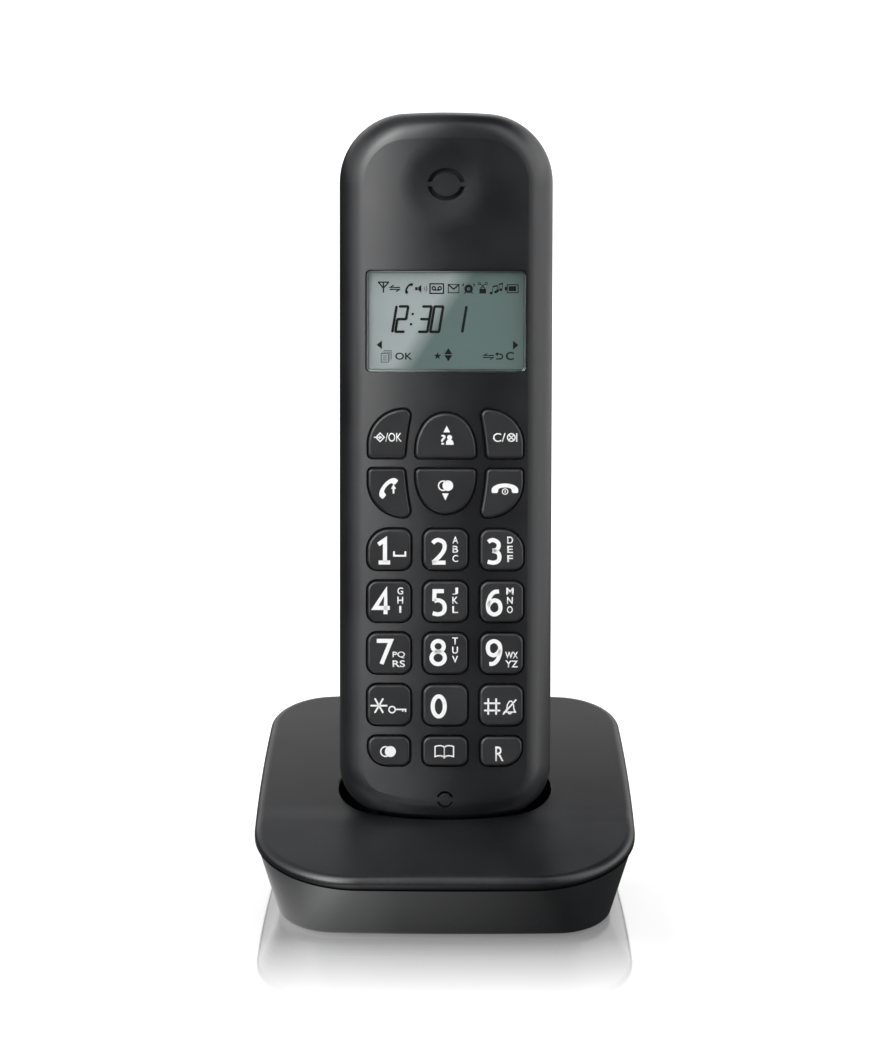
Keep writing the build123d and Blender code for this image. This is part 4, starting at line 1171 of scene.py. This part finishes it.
# Outlines of the bell and of the arrow beside the lifted receiver.
BELL = (
    (13.4, 25.5), (13.95, 26.1), (14.1, 27.2), (14.55, 27.95), (15.05, 28.0), (15.45, 27.3), (15.6, 26.1),
    (15.95, 25.5),
)
LIFT_ARROW = (
    (-11.92, 75.15), (-11.52, 75.15), (-11.52, 76.2), (-11.15, 76.2), (-11.72, 77.3), (-12.29, 76.2), (-11.92, 76.2),
)
SIGNS: dict[str, Marks] = {
    "menu_ok": (
        (Art.path, ((-15.7, 87.85), (-14.75, 88.8), (-13.8, 87.85), (-14.75, 86.9)), FINE, True),
        (Art.bar, (-16.15, 87.85), (-14.7, 87.85), FINE),
        (Art.polygon, ((-14.95, 88.3), (-14.25, 87.85), (-14.95, 87.4))),
        (Art.word, "/OK", (-13.55, 86.85, -9.9, 88.85)),
    ),
    # A triangle over a question mark and a bust.
    "up": (
        (Art.polygon, ((-0.52, 89.0), (0.97, 89.0), (0.22, 90.5))),
        (Art.word, "?", (-1.1, 86.2, 0.0, 88.45), Weight.BOLD),
        (Art.disc, (0.88, 87.85), 0.56),
        (Art.polygon, ((0.05, 86.2), (1.8, 86.2), (1.7, 86.95), (1.3, 87.35), (0.45, 87.35), (0.12, 86.95))),
    ),
    # C and the crossed circle with its bar.
    "clear": (
        (Art.word, "C/", (10.65, 86.85, 13.45, 88.85)),
        (Art.arc, (14.75, 87.87), 0.86, FINE),
        (Art.bar, (14.15, 88.47), (15.35, 87.27), 0.24),
        (Art.bar, (14.15, 87.27), (15.35, 88.47), 0.24),
        (Art.bar, (15.98, 86.9), (15.98, 88.85), 0.24),
    ),
    "talk": ((Art.receiver, (-13.15, 76.6), 2.75, 50.0), (Art.polygon, LIFT_ARROW)),
    "down": (*moon((0.0, 76.95), 1.2), (Art.polygon, ((-0.8, 75.2), (-0.05, 73.65), (0.7, 75.2)))),
    # The resting receiver with the power sign.
    "end": (
        (Art.receiver, (13.36, 76.4), 3.0, 0.0),
        (Art.arc, (13.4, 75.65), 0.62, 0.2),
        (Art.bar, (13.4, 75.35), (13.4, 75.95), 0.2),
    ),
    # The star and the small key of the keypad lock.
    "star": (
        *((Art.path, rim((-14.97, 26.9), 1.75, 1.75, (turn + math.pi, turn)), 0.4) for turn in THIRDS),
        (Art.arc, (-12.0, 26.0), 0.72, 0.3),
        (Art.path, ((-11.2, 26.05), (-8.95, 26.05), (-8.95, 25.6)), 0.32),
        (Art.bar, (-9.6, 26.0), (-9.6, 25.55), 0.3),
    ),
    "0": ((Art.figure, "0", (-3.27, 24.0, 0.39, 29.52), DIGIT),),
    # The hash sign and the crossed bell.
    "hash": (
        *((Art.path, ((u, 25.05), (u, 28.45)), LINE) for u in (9.77, 11.55)),
        *((Art.path, ((9.0, v), (12.3, v)), LINE) for v in (25.85, 27.5)),
        (Art.path, BELL, FINE, True),
        (Art.path, ((13.2, 25.05), (16.0, 28.25)), 0.34),
        (Art.arc, (14.65, 25.4), 0.32, FINE, 180.0, 180.0, 10),
    ),
    "redial": moon((-12.9, 16.4), 1.25),
    "phonebook": book(-0.16, 17.36, 15.06),
    "recall": ((Art.word, "R", (11.4, 14.25, 13.27, 17.6)),),
}


# Widths of the small letters that are narrower or wider than the others.
ODD_WIDTHS = {"I": 0.45, "M": 1.65}


@dataclass(frozen=True)
class DigitKey:
    """Digit with the small letters beside it: one column, or two pairs one over the other."""

    digit: str
    box: Box
    letters: str = ""
    middle: float = 0.0
    pairs: tuple[str, ...] = ()
    pair_span: Span = (0.0, 0.0)
    extra: Marks = ()
    letter_size: Span = (1.3, 1.6)
    letter_pitch: float = 2.1
    letter_rise: float = 0.35
    pair_feet: Span = (1.75, -0.25)
    pair_height: float = 1.55

    def marks(self) -> Marks:
        """Return the marks of the key.

        Returns:
            The digit, its letters and what else the key carries.
        """
        found = [(Art.figure, self.digit, self.box, DIGIT)]
        width, height = self.letter_size
        for index, letter in enumerate(self.letters):
            top = self.box[3] + self.letter_rise - self.letter_pitch * index
            reach = ODD_WIDTHS.get(letter, width) / 2
            box = (self.middle - reach, top - height, self.middle + reach, top)
            found.append((Art.word, letter, box, Weight.BOLD))
        start, end = self.pair_span
        for word, foot in zip(self.pairs, self.pair_feet):
            low = self.box[1] + foot
            found.append((Art.word, word, (start, low, end, low + self.pair_height), Weight.BOLD))
        return (*found, *self.extra)


SPACE_SIGN = (Art.path, ((-11.6, 61.9), (-11.6, 61.05), (-9.05, 61.05), (-9.05, 61.9)), LINE)
DIGITS = (
    DigitKey("1", (-15.6, 59.05, -12.0, 65.1), extra=(SPACE_SIGN,)),
    DigitKey("2", (-3.42, 59.05, 0.49, 65.1), "ABC", 2.23),
    DigitKey("3", (9.06, 59.05, 12.74, 65.1), "DEF", 14.58),
    DigitKey("4", (-16.4, 47.3, -12.08, 53.5), "GHI", -10.17),
    DigitKey("5", (-3.3, 47.3, 0.41, 53.5), "JKL", 2.23),
    DigitKey("6", (9.07, 47.3, 13.0, 53.5), "MNO", 14.58),
    DigitKey("7", (-15.95, 35.95, -11.75, 42.15), pairs=("PQ", "RS"), pair_span=(-11.9, -9.1)),
    DigitKey("8", (-3.6, 35.95, 0.41, 42.15), "TUV", 2.23),
    DigitKey("9", (9.08, 35.95, 13.0, 42.15), pairs=("WX", "YZ"), pair_span=(13.6, 16.45)),
)


@dataclass
class KeyLegends:
    """White legends printed on the key caps; lengths in millimetres."""

    wardrobe: Wardrobe
    key_top: float = 0.95
    sunk: float = 0.01
    thickness: float = 0.03

    def build(self) -> None:
        """Print the legend of every key."""
        for key, marks in {**SIGNS, **{key.digit: key.marks() for key in DIGITS}}.items():
            piece = FlatArt().drawn(marks).raised(f"legend_{key}", self.key_top - self.sunk, self.thickness)
            settle(piece, f"key_{key}", self.wardrobe.white_ink)


# ---------------------------------------------------------------- display


@dataclass(frozen=True)
class SegmentLine:
    """Line of slanted segment characters; lengths and places in millimetres on the face."""

    text: str = "12:30 1"
    start: Point = (-14.0, 111.45)
    pitch: float = 2.62
    width: float = 1.95
    height: float = 5.7
    slant: float = 0.165
    stroke: float = 0.6
    gap: float = 0.12
    dot: float = 0.3
    dot_sides: int = 14
    colon: Span = (0.3, 0.7)
    colon_shift: float = -0.35

    def _at(self, index: int, x: float, y: float) -> Point:
        """Return a point of one character's box on the face."""
        return self.start[0] + self.pitch * index + x + self.slant * y, self.start[1] + y

    def marks(self) -> Marks:
        """Return the segments and dots of every character.

        Returns:
            The marks in the order of the text.
        """
        right, high, half, gap = self.width, self.height, self.height / 2, self.gap
        spans = {
            "a": ((gap, high), (right - gap, high)), "b": ((right, half + gap), (right, high - gap)),
            "c": ((right, gap), (right, half - gap)), "d": ((gap, 0.0), (right - gap, 0.0)),
            "e": ((0.0, gap), (0.0, half - gap)), "f": ((0.0, half + gap), (0.0, high - gap)),
            "g": ((gap, half), (right - gap, half)),
        }
        shapes = {"0": "abcdef", "1": "bc", "2": "abged", "3": "abgcd"}
        found = []
        for index, sign in enumerate(self.text):
            for segment in shapes.get(sign, ""):
                found.append((Art.path, [self._at(index, *end) for end in spans[segment]], self.stroke))
            for share in self.colon if sign == ":" else ():
                middle = self._at(index, right / 2 + self.colon_shift, share * high)
                found.append((Art.disc, middle, self.dot, self.dot_sides))
        return tuple(found)


def star(centre: Point, radius: float, notch: float) -> Mark:
    """Return a filled star of five points.

    Args:
        centre: its middle.
        radius: of its points.
        notch: radius of its notches.

    Returns:
        The star.
    """
    tips, notches = ([math.radians(first + 72 * i) for i in range(5)] for first in (90, 126))
    pairs = zip(rim(centre, radius, radius, tips), rim(centre, notch, notch, notches))
    return Art.polygon, [point for pair in pairs for point in pair]


NOTE_HEADS = ((10.15, 120.2), (11.15, 120.45), (11.55, 120.7), (12.3, 120.95))
# Aerial, line, call, sound, mailbox, letter, alarm, lock, melody and battery.
STATUS_ROW: Marks = (
    (Art.path, ((-15.2, 122.6), (-12.9, 122.6)), THIN),
    (Art.path, ((-15.2, 122.6), (-14.07, 121.25), (-12.9, 122.6)), THIN),
    (Art.path, ((-14.07, 120.35), (-14.07, 122.6)), THIN),
    *exchange((-11.5, 121.2), 1.05, THIN),
    (Art.receiver, (-8.45, 121.3), 1.35, 58.0),
    (Art.block, (-6.95, 120.8, -6.35, 121.5)),
    (Art.polygon, ((-6.25, 120.85), (-5.55, 120.25), (-5.55, 122.05), (-6.25, 121.45))),
    *((Art.arc, (-5.2, 121.15), radius, 0.13, -45.0, 90.0, 8) for radius in (0.45, 0.9)),
    (Art.frame, (-3.6, 120.1, -0.58, 122.25), THIN),
    *((Art.arc, (u, 121.25), 0.36, THIN) for u in (-2.75, -1.42)),
    (Art.path, ((-2.75, 120.85), (-1.42, 120.85)), THIN),
    (Art.frame, (0.52, 120.25, 2.9, 122.1), 0.2),
    (Art.path, ((0.52, 122.1), (1.71, 121.05), (2.9, 122.1)), THIN),
    (Art.arc, (5.07, 121.15), 0.66, 0.6),
    (Art.path, ((5.07, 121.6), (5.07, 121.1), (5.4, 121.1)), 0.12),
    *((Art.arc, (5.07 + side * 0.75, 121.95), 0.5, 0.26, 55.0 - side * 80.0, 70.0, 8) for side in (-1, 1)),
    *((Art.path, ((5.07 + side * 0.6, 120.5), (5.07 + side * 0.85, 120.15)), 0.26) for side in (-1, 1)),
    (Art.block, (7.5, 120.1, 9.0, 121.15)),
    (Art.arc, (8.25, 121.15), 0.42, 0.22, 0.0, 180.0, 12),
    *((Art.arc, (8.25 + side * 0.8, 122.35), 0.26, 0.15) for side in (-1, 1)),
    *((Art.path, ((8.25 + side * 0.55, 122.2), (8.25 - side * 0.25, 121.75)), 0.15) for side in (-1, 1)),
    *((Art.disc, head, 0.33, 16) for head in NOTE_HEADS),
    *((Art.bar, (u + 0.26, v), (u + 0.42, v + 1.5), 0.14) for u, v in NOTE_HEADS),
    (Art.bar, (10.5, 121.65), (11.6, 121.9), 0.32),
    (Art.bar, (11.9, 122.15), (12.75, 122.4), 0.32),
    (Art.frame, (13.75, 120.3, 16.2, 122.1), 0.2),
    (Art.block, (13.2, 120.8, 13.65, 121.6)),
    (Art.block, (14.05, 120.65, 15.75, 121.75)),
)
SHEET_EDGE = ((-14.55, 106.55), (-12.95, 106.55), (-12.95, 104.6))
# Pointers at both ends, and the sheets with OK, the star with the scroll pointers and the return sign with C.
LOWER_ROW: Marks = (
    (Art.polygon, ((-15.6, 108.5), (-14.4, 107.55), (-14.4, 109.45))),
    (Art.polygon, ((16.3, 108.5), (15.1, 109.5), (15.1, 107.5))),
    *((Art.path, [(u + step, v + step) for u, v in SHEET_EDGE], 0.12) for step in (0.0, 0.32, 0.64)),
    (Art.frame, (-14.55, 104.6, -12.95, 106.55), 0.14),
    *((Art.path, ((-14.15, v), (-13.35, v)), 0.13) for v in (105.1, 105.55, 106.0)),
    (Art.word, "OK", (-11.4, 105.15, -7.55, 106.75), Weight.BOLD),
    star((-1.87, 106.0), 0.88, 0.36),
    (Art.polygon, ((-0.35, 106.42), (1.45, 106.42), (0.55, 107.8))),
    (Art.polygon, ((-0.35, 106.2), (0.55, 104.8), (1.45, 106.2))),
    *exchange((9.6, 105.93), 1.1, FINE),
    (Art.arc, (12.2, 105.93), 0.55, 0.28, -90.0, 180.0, 12),
    (Art.bar, (11.3, 105.38), (12.2, 105.38), 0.28),
    (Art.bar, (11.6, 106.48), (12.2, 106.48), 0.28),
    (Art.polygon, ((11.05, 106.48), (11.7, 106.95), (11.7, 106.0))),
    (Art.word, "C", (13.5, 105.15, 15.3, 106.95), Weight.BOLD),
)


@dataclass
class DisplayUnit:
    """Liquid-crystal panel behind the window, with its marks; lengths in millimetres."""

    wardrobe: Wardrobe
    node: str = "display_panel"
    mark_sunk: float = 0.01
    mark_thickness: float = 0.03
    panel_depth: float = 2.1
    panel_size: tuple[float, float, float] = (34.9, 25.0, 1.9)
    panel_middle: float = 113.97
    border: float = 0.25
    groove_width: float = 0.05
    groove_depth: float = 0.04
    edge_bevel: float = 0.06
    bevel_steps: int = 2

    def build(self) -> None:
        """Build the panel and its marks."""
        self._panel()
        art = FlatArt().drawn((*STATUS_ROW, *SegmentLine().marks(), *LOWER_ROW))
        marks = art.raised("display_marks", -self.panel_depth - self.mark_sunk, self.mark_thickness)
        settle(marks, HANDSET_BODY, self.wardrobe.segment_ink)

    def _panel(self) -> None:
        """Model the glass sandwich with its polariser and sealed edge."""
        deselect_all()
        bpy.ops.mesh.primitive_cube_add(size=1.0)
        panel = bpy.context.view_layer.objects.active
        panel.name = panel.data.name = "display_glass"
        panel.data.transform(Matrix.Diagonal((*self.panel_size, 1.0)))
        bpy.ops.object.mode_set(mode="EDIT")
        bpy.ops.mesh.select_all(action="DESELECT")
        bpy.ops.object.mode_set(mode="OBJECT")
        for side in panel.data.polygons:
            side.select = side.normal.z > 0.9
        bpy.ops.object.mode_set(mode="EDIT")
        for inset, rise in ((self.border, -self.groove_depth), (self.groove_width, self.groove_depth)):
            bpy.ops.mesh.inset(thickness=inset)
            bpy.ops.mesh.extrude_region_move(TRANSFORM_OT_translate={"value": (0, 0, rise)})
        bpy.ops.object.mode_set(mode="OBJECT")
        bevel = panel.modifiers.new("edges", "BEVEL")
        bevel.width, bevel.segments, bevel.limit_method = self.edge_bevel, self.bevel_steps, "ANGLE"
        apply_all(panel)
        bake_place(panel, AXES.lay(self.panel_middle, -self.panel_depth - self.panel_size[2] / 2))
        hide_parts(self.node)
        settle(panel, HANDSET_BODY, self.wardrobe.by_slot[Slot.DISPLAY])


# ---------------------------------------------------------------- studio


WHITE = opaque(grey(1.0))
# Level of the surroundings in reflections, by the direction in degrees from the front, negative to the left.
AROUND: Profile = (
    (-180, 1.16), (-150, 1.0), (-130, 0.45), (-100, 0.65), (-62, 1.7), (-46, 4.0), (-33, 4.1), (-20, 0.85),
    (-10, 0.21), (4, 0.12), (34, 0.07), (46, 0.55), (60, 1.6), (110, 1.7), (140, 0.8), (180, 1.16),
)
# Glow of the floor that only reflections see, painted highlights for the casings' edges, across it and from its front
# to its rear, in metres.
FLOOR_ACROSS: Profile = (
    (-0.26, 0.05), (-0.085, 0.15), (-0.062, 0.4), (-0.05, 1.5), (-0.036, 2.6), (-0.024, 1.6), (-0.01, 0.75),
    (0.03, 0.1), (0.055, 0.14), (0.08, 0.28), (0.14, 0.56), (0.26, 1.7),
)
FLOOR_AHEAD: Profile = ((-0.2, 0.06), (-0.11, 0.9), (-0.055, 1.0), (-0.04, 0.55), (0.0, 0.5))
# How much of its mirror image the floor shows, from its front to its rear, in metres.
FLOOR_MIRROR: Profile = ((-0.081, 0.0), (-0.038, 1.0), (-0.012, 1.0), (0.025, 0.0))


@dataclass(frozen=True)
class FloorFinish(Finish):
    """Pale floor that keeps shadows and mirrors the front of the base."""

    name: str = "pale_floor"
    albedo: float = 0.62
    roughness: float = 0.18
    glow: float = 0.72
    mirror: float = 0.77
    mirror_roughness: float = 0.06
    mirror_edge: Span = (0.05, 0.085)

    def inputs(self, sheet: NodeSheet, effects: SharedEffects) -> dict[str, Any]:
        """Return the inputs of the plain floor."""
        return {"Base Color": opaque(grey(self.albedo)), "Roughness": self.roughness}

    def surface(self, sheet: NodeSheet, shader: Socket) -> Socket:
        """Add the glow for the camera, the glowing patch that only reflections see, which paints highlights on the
        casings' edges, and the mirror image.

        Args:
            sheet: of the material.
            shader: of the plain floor.

        Returns:
            What the floor shows.
        """
        rays = sheet.add("ShaderNodeLightPath").outputs
        across, along, _ = sheet.split(sheet.place())
        # A glowing patch of floor, seen only in reflections: painted highlights on the casings.
        painted_highlight_glow = sheet.times(sheet.profile(across, FLOOR_ACROSS), sheet.profile(along, FLOOR_AHEAD))
        reflected = sheet.first("ShaderNodeEmission", {"Color": WHITE, "Strength": painted_highlight_glow})
        lift = sheet.times(rays["Is Camera Ray"], self.glow)
        lifted = sheet.first(
            "ShaderNodeAddShader", {0: shader, 1: sheet.first("ShaderNodeEmission", {"Color": WHITE, "Strength": lift})}
        )
        plain = sheet.mix_shaders(rays["Is Glossy Ray"], lifted, reflected)
        gloss = sheet.first("ShaderNodeBsdfGlossy", {"Color": WHITE, "Roughness": self.mirror_roughness})
        sideways = sheet.ramp(sheet.math("ABSOLUTE", across), *self.mirror_edge, self.mirror, 0.0)
        share = sheet.times(sheet.profile(along, FLOOR_MIRROR), sideways, rays["Is Camera Ray"])
        return sheet.mix_shaders(share, plain, gloss)


@dataclass(frozen=True)
class SoftLamp:
    """Rectangular lamp, with its place and the point that it faces in metres and its power in watts."""

    name: str
    place: tuple[float, float, float]
    aim: tuple[float, float, float]
    size: Span
    power: float

    def hang(self) -> None:
        """Add the lamp, which shows in no reflection."""
        deselect_all()
        bpy.ops.object.light_add(type="AREA", location=self.place)
        lamp = bpy.context.view_layer.objects.active
        lamp.name = lamp.data.name = self.name
        lamp.data.shape = "RECTANGLE"
        lamp.data.size, lamp.data.size_y = self.size
        lamp.data.energy = self.power
        lamp.visible_glossy = False
        lamp.rotation_euler = (Vector(self.aim) - Vector(self.place)).to_track_quat("-Z", "Y").to_euler()


LAMPS = (
    SoftLamp("lamp_left", (-0.95, -0.35, 0.55), (0.0, 0.0, 0.09), (0.45, 0.9), 5.0),
    SoftLamp("lamp_right", (0.95, -0.3, 0.55), (0.0, 0.0, 0.09), (0.45, 0.9), 5.0),
    SoftLamp("lamp_top", (0.0, 0.05, 1.25), (0.0, 0.0, 0.05), (0.9, 0.6), 6.0),
    SoftLamp("lamp_front", (-0.45, -1.25, 0.9), (0.0, 0.0, 0.1), (0.5, 0.5), 4.0),
)


@dataclass
class Studio:
    """Pale floor, soft lamps and plain surroundings.

    The edges are those of the surroundings' zones, in parts of a direction of length one: x to
    the right, y to the rear and z up. The levels are the brightness on both sides of an edge.
    """

    wardrobe: Wardrobe
    floor_half: float = 6.0
    floor_centre: tuple[float, float, float] = (0.0, 2.0, -0.0001)
    surround_light: float = 0.55
    front_edge: Span = (-0.6, -0.3)
    right_edge: Span = (0.4, 0.6)
    low_edge: Span = (0.13, 0.28)
    low_levels: Span = (0.03, 1.6)
    overhead_edge: Span = (0.42, 0.55)
    overhead_front: Span = (-0.2, 0.1)
    overhead_sides: Span = (-0.08, 0.1)
    overhead_levels: Span = (0.3, 0.01)

    def build(self) -> None:
        """Build the surroundings, the floor and the lamps."""
        self._world()
        self._floor()
        for lamp in LAMPS:
            lamp.hang()

    def _world(self) -> None:
        """Make the surroundings white where they are seen, a soft light elsewhere and a ring in reflections."""
        world = bpy.data.worlds.new("studio")
        bpy.context.scene.world = world
        world.use_nodes = True
        sheet = NodeSheet(world.node_tree)
        sheet.tree.nodes.clear()
        rays = sheet.add("ShaderNodeLightPath").outputs
        x, y, z = sheet.split(sheet.add("ShaderNodeTexCoord").outputs["Generated"])
        turn = sheet.math("ARCTAN2", x, sheet.times(y, -1.0))
        around = sheet.profile(sheet.ramp(turn, -math.pi, math.pi, -180.0, 180.0), AROUND)
        front = sheet.times(sheet.ramp(y, *self.front_edge, 1.0, 0.0), sheet.ramp(x, *self.right_edge, 1.0, 0.0))
        fade = sheet.ramp(front, 0.0, 1.0, 1.0, sheet.ramp(z, *self.low_edge, *self.low_levels))
        sides = sheet.ramp(x, *self.overhead_sides, *self.overhead_levels)
        overhead = sheet.times(sheet.ramp(z, *self.overhead_edge), sheet.ramp(y, *self.overhead_front))
        mirrored = sheet.ramp(overhead, 0.0, 1.0, sheet.times(around, fade), sides)
        seen = sheet.math("MAXIMUM", rays["Is Camera Ray"], rays["Is Transmission Ray"])
        plain = sheet.ramp(seen, 0.0, 1.0, self.surround_light, 1.0)
        level = sheet.ramp(rays["Is Glossy Ray"], 0.0, 1.0, plain, mirrored)
        glow = sheet.first("ShaderNodeBackground", {"Color": WHITE, "Strength": level})
        sheet.fill(sheet.add("ShaderNodeOutputWorld"), {"Surface": glow})

    def _floor(self) -> None:
        """Lay a wide floor just under the feet."""
        deselect_all()
        bpy.ops.mesh.primitive_plane_add(size=2 * self.floor_half, location=self.floor_centre)
        floor = bpy.context.view_layer.objects.active
        floor.name = floor.data.name = "studio_floor"
        bpy.ops.object.transform_apply(location=True, rotation=True, scale=True)
        floor.data.materials.append(FloorFinish().material(self.wardrobe.effects))


@dataclass(frozen=True)
class ViewCamera:
    """Camera in front of the telephone, looking down on it; the focal length is in sensor heights."""

    place: tuple[float, float, float] = (0.0, -0.9235, 0.4577)
    pitch: float = math.radians(22.0)
    roll: float = math.radians(0.13)
    sensor: float = 36.0
    focal: float = 4.2
    shift: float = -2.5 / 1050
    clip: Span = (0.01, 50.0)

    def build(self) -> None:
        """Add the camera and make it the scene's camera."""
        deselect_all()
        bpy.ops.object.camera_add(location=self.place)
        camera = bpy.context.view_layer.objects.active
        camera.name = camera.data.name = "picture_camera"
        camera.data.sensor_fit = "VERTICAL"
        camera.data.sensor_height = camera.data.sensor_width = self.sensor
        camera.data.lens = self.focal * self.sensor
        camera.data.shift_x = self.shift
        camera.data.clip_start, camera.data.clip_end = self.clip
        turn = Matrix.Rotation(math.pi / 2 - self.pitch, 4, "X") @ Matrix.Rotation(self.roll, 4, "Z")
        camera.rotation_euler = turn.to_euler()
        bpy.context.scene.camera = camera


# ---------------------------------------------------------------- the whole scene


def main() -> None:
    """Load the frame, dress it and set the studio up round it."""
    logging.basicConfig(level=logging.INFO, format="%(name)s: %(message)s")
    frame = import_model()
    bpy.context.scene.view_settings.view_transform = "Standard"
    wardrobe = Wardrobe()
    wardrobe.dress_frame(frame)
    DisplayUnit(wardrobe).build()
    KeyLegends(wardrobe).build()
    Studio(wardrobe).build()
    ViewCamera().build()


if __name__ == "__main__":
    main()
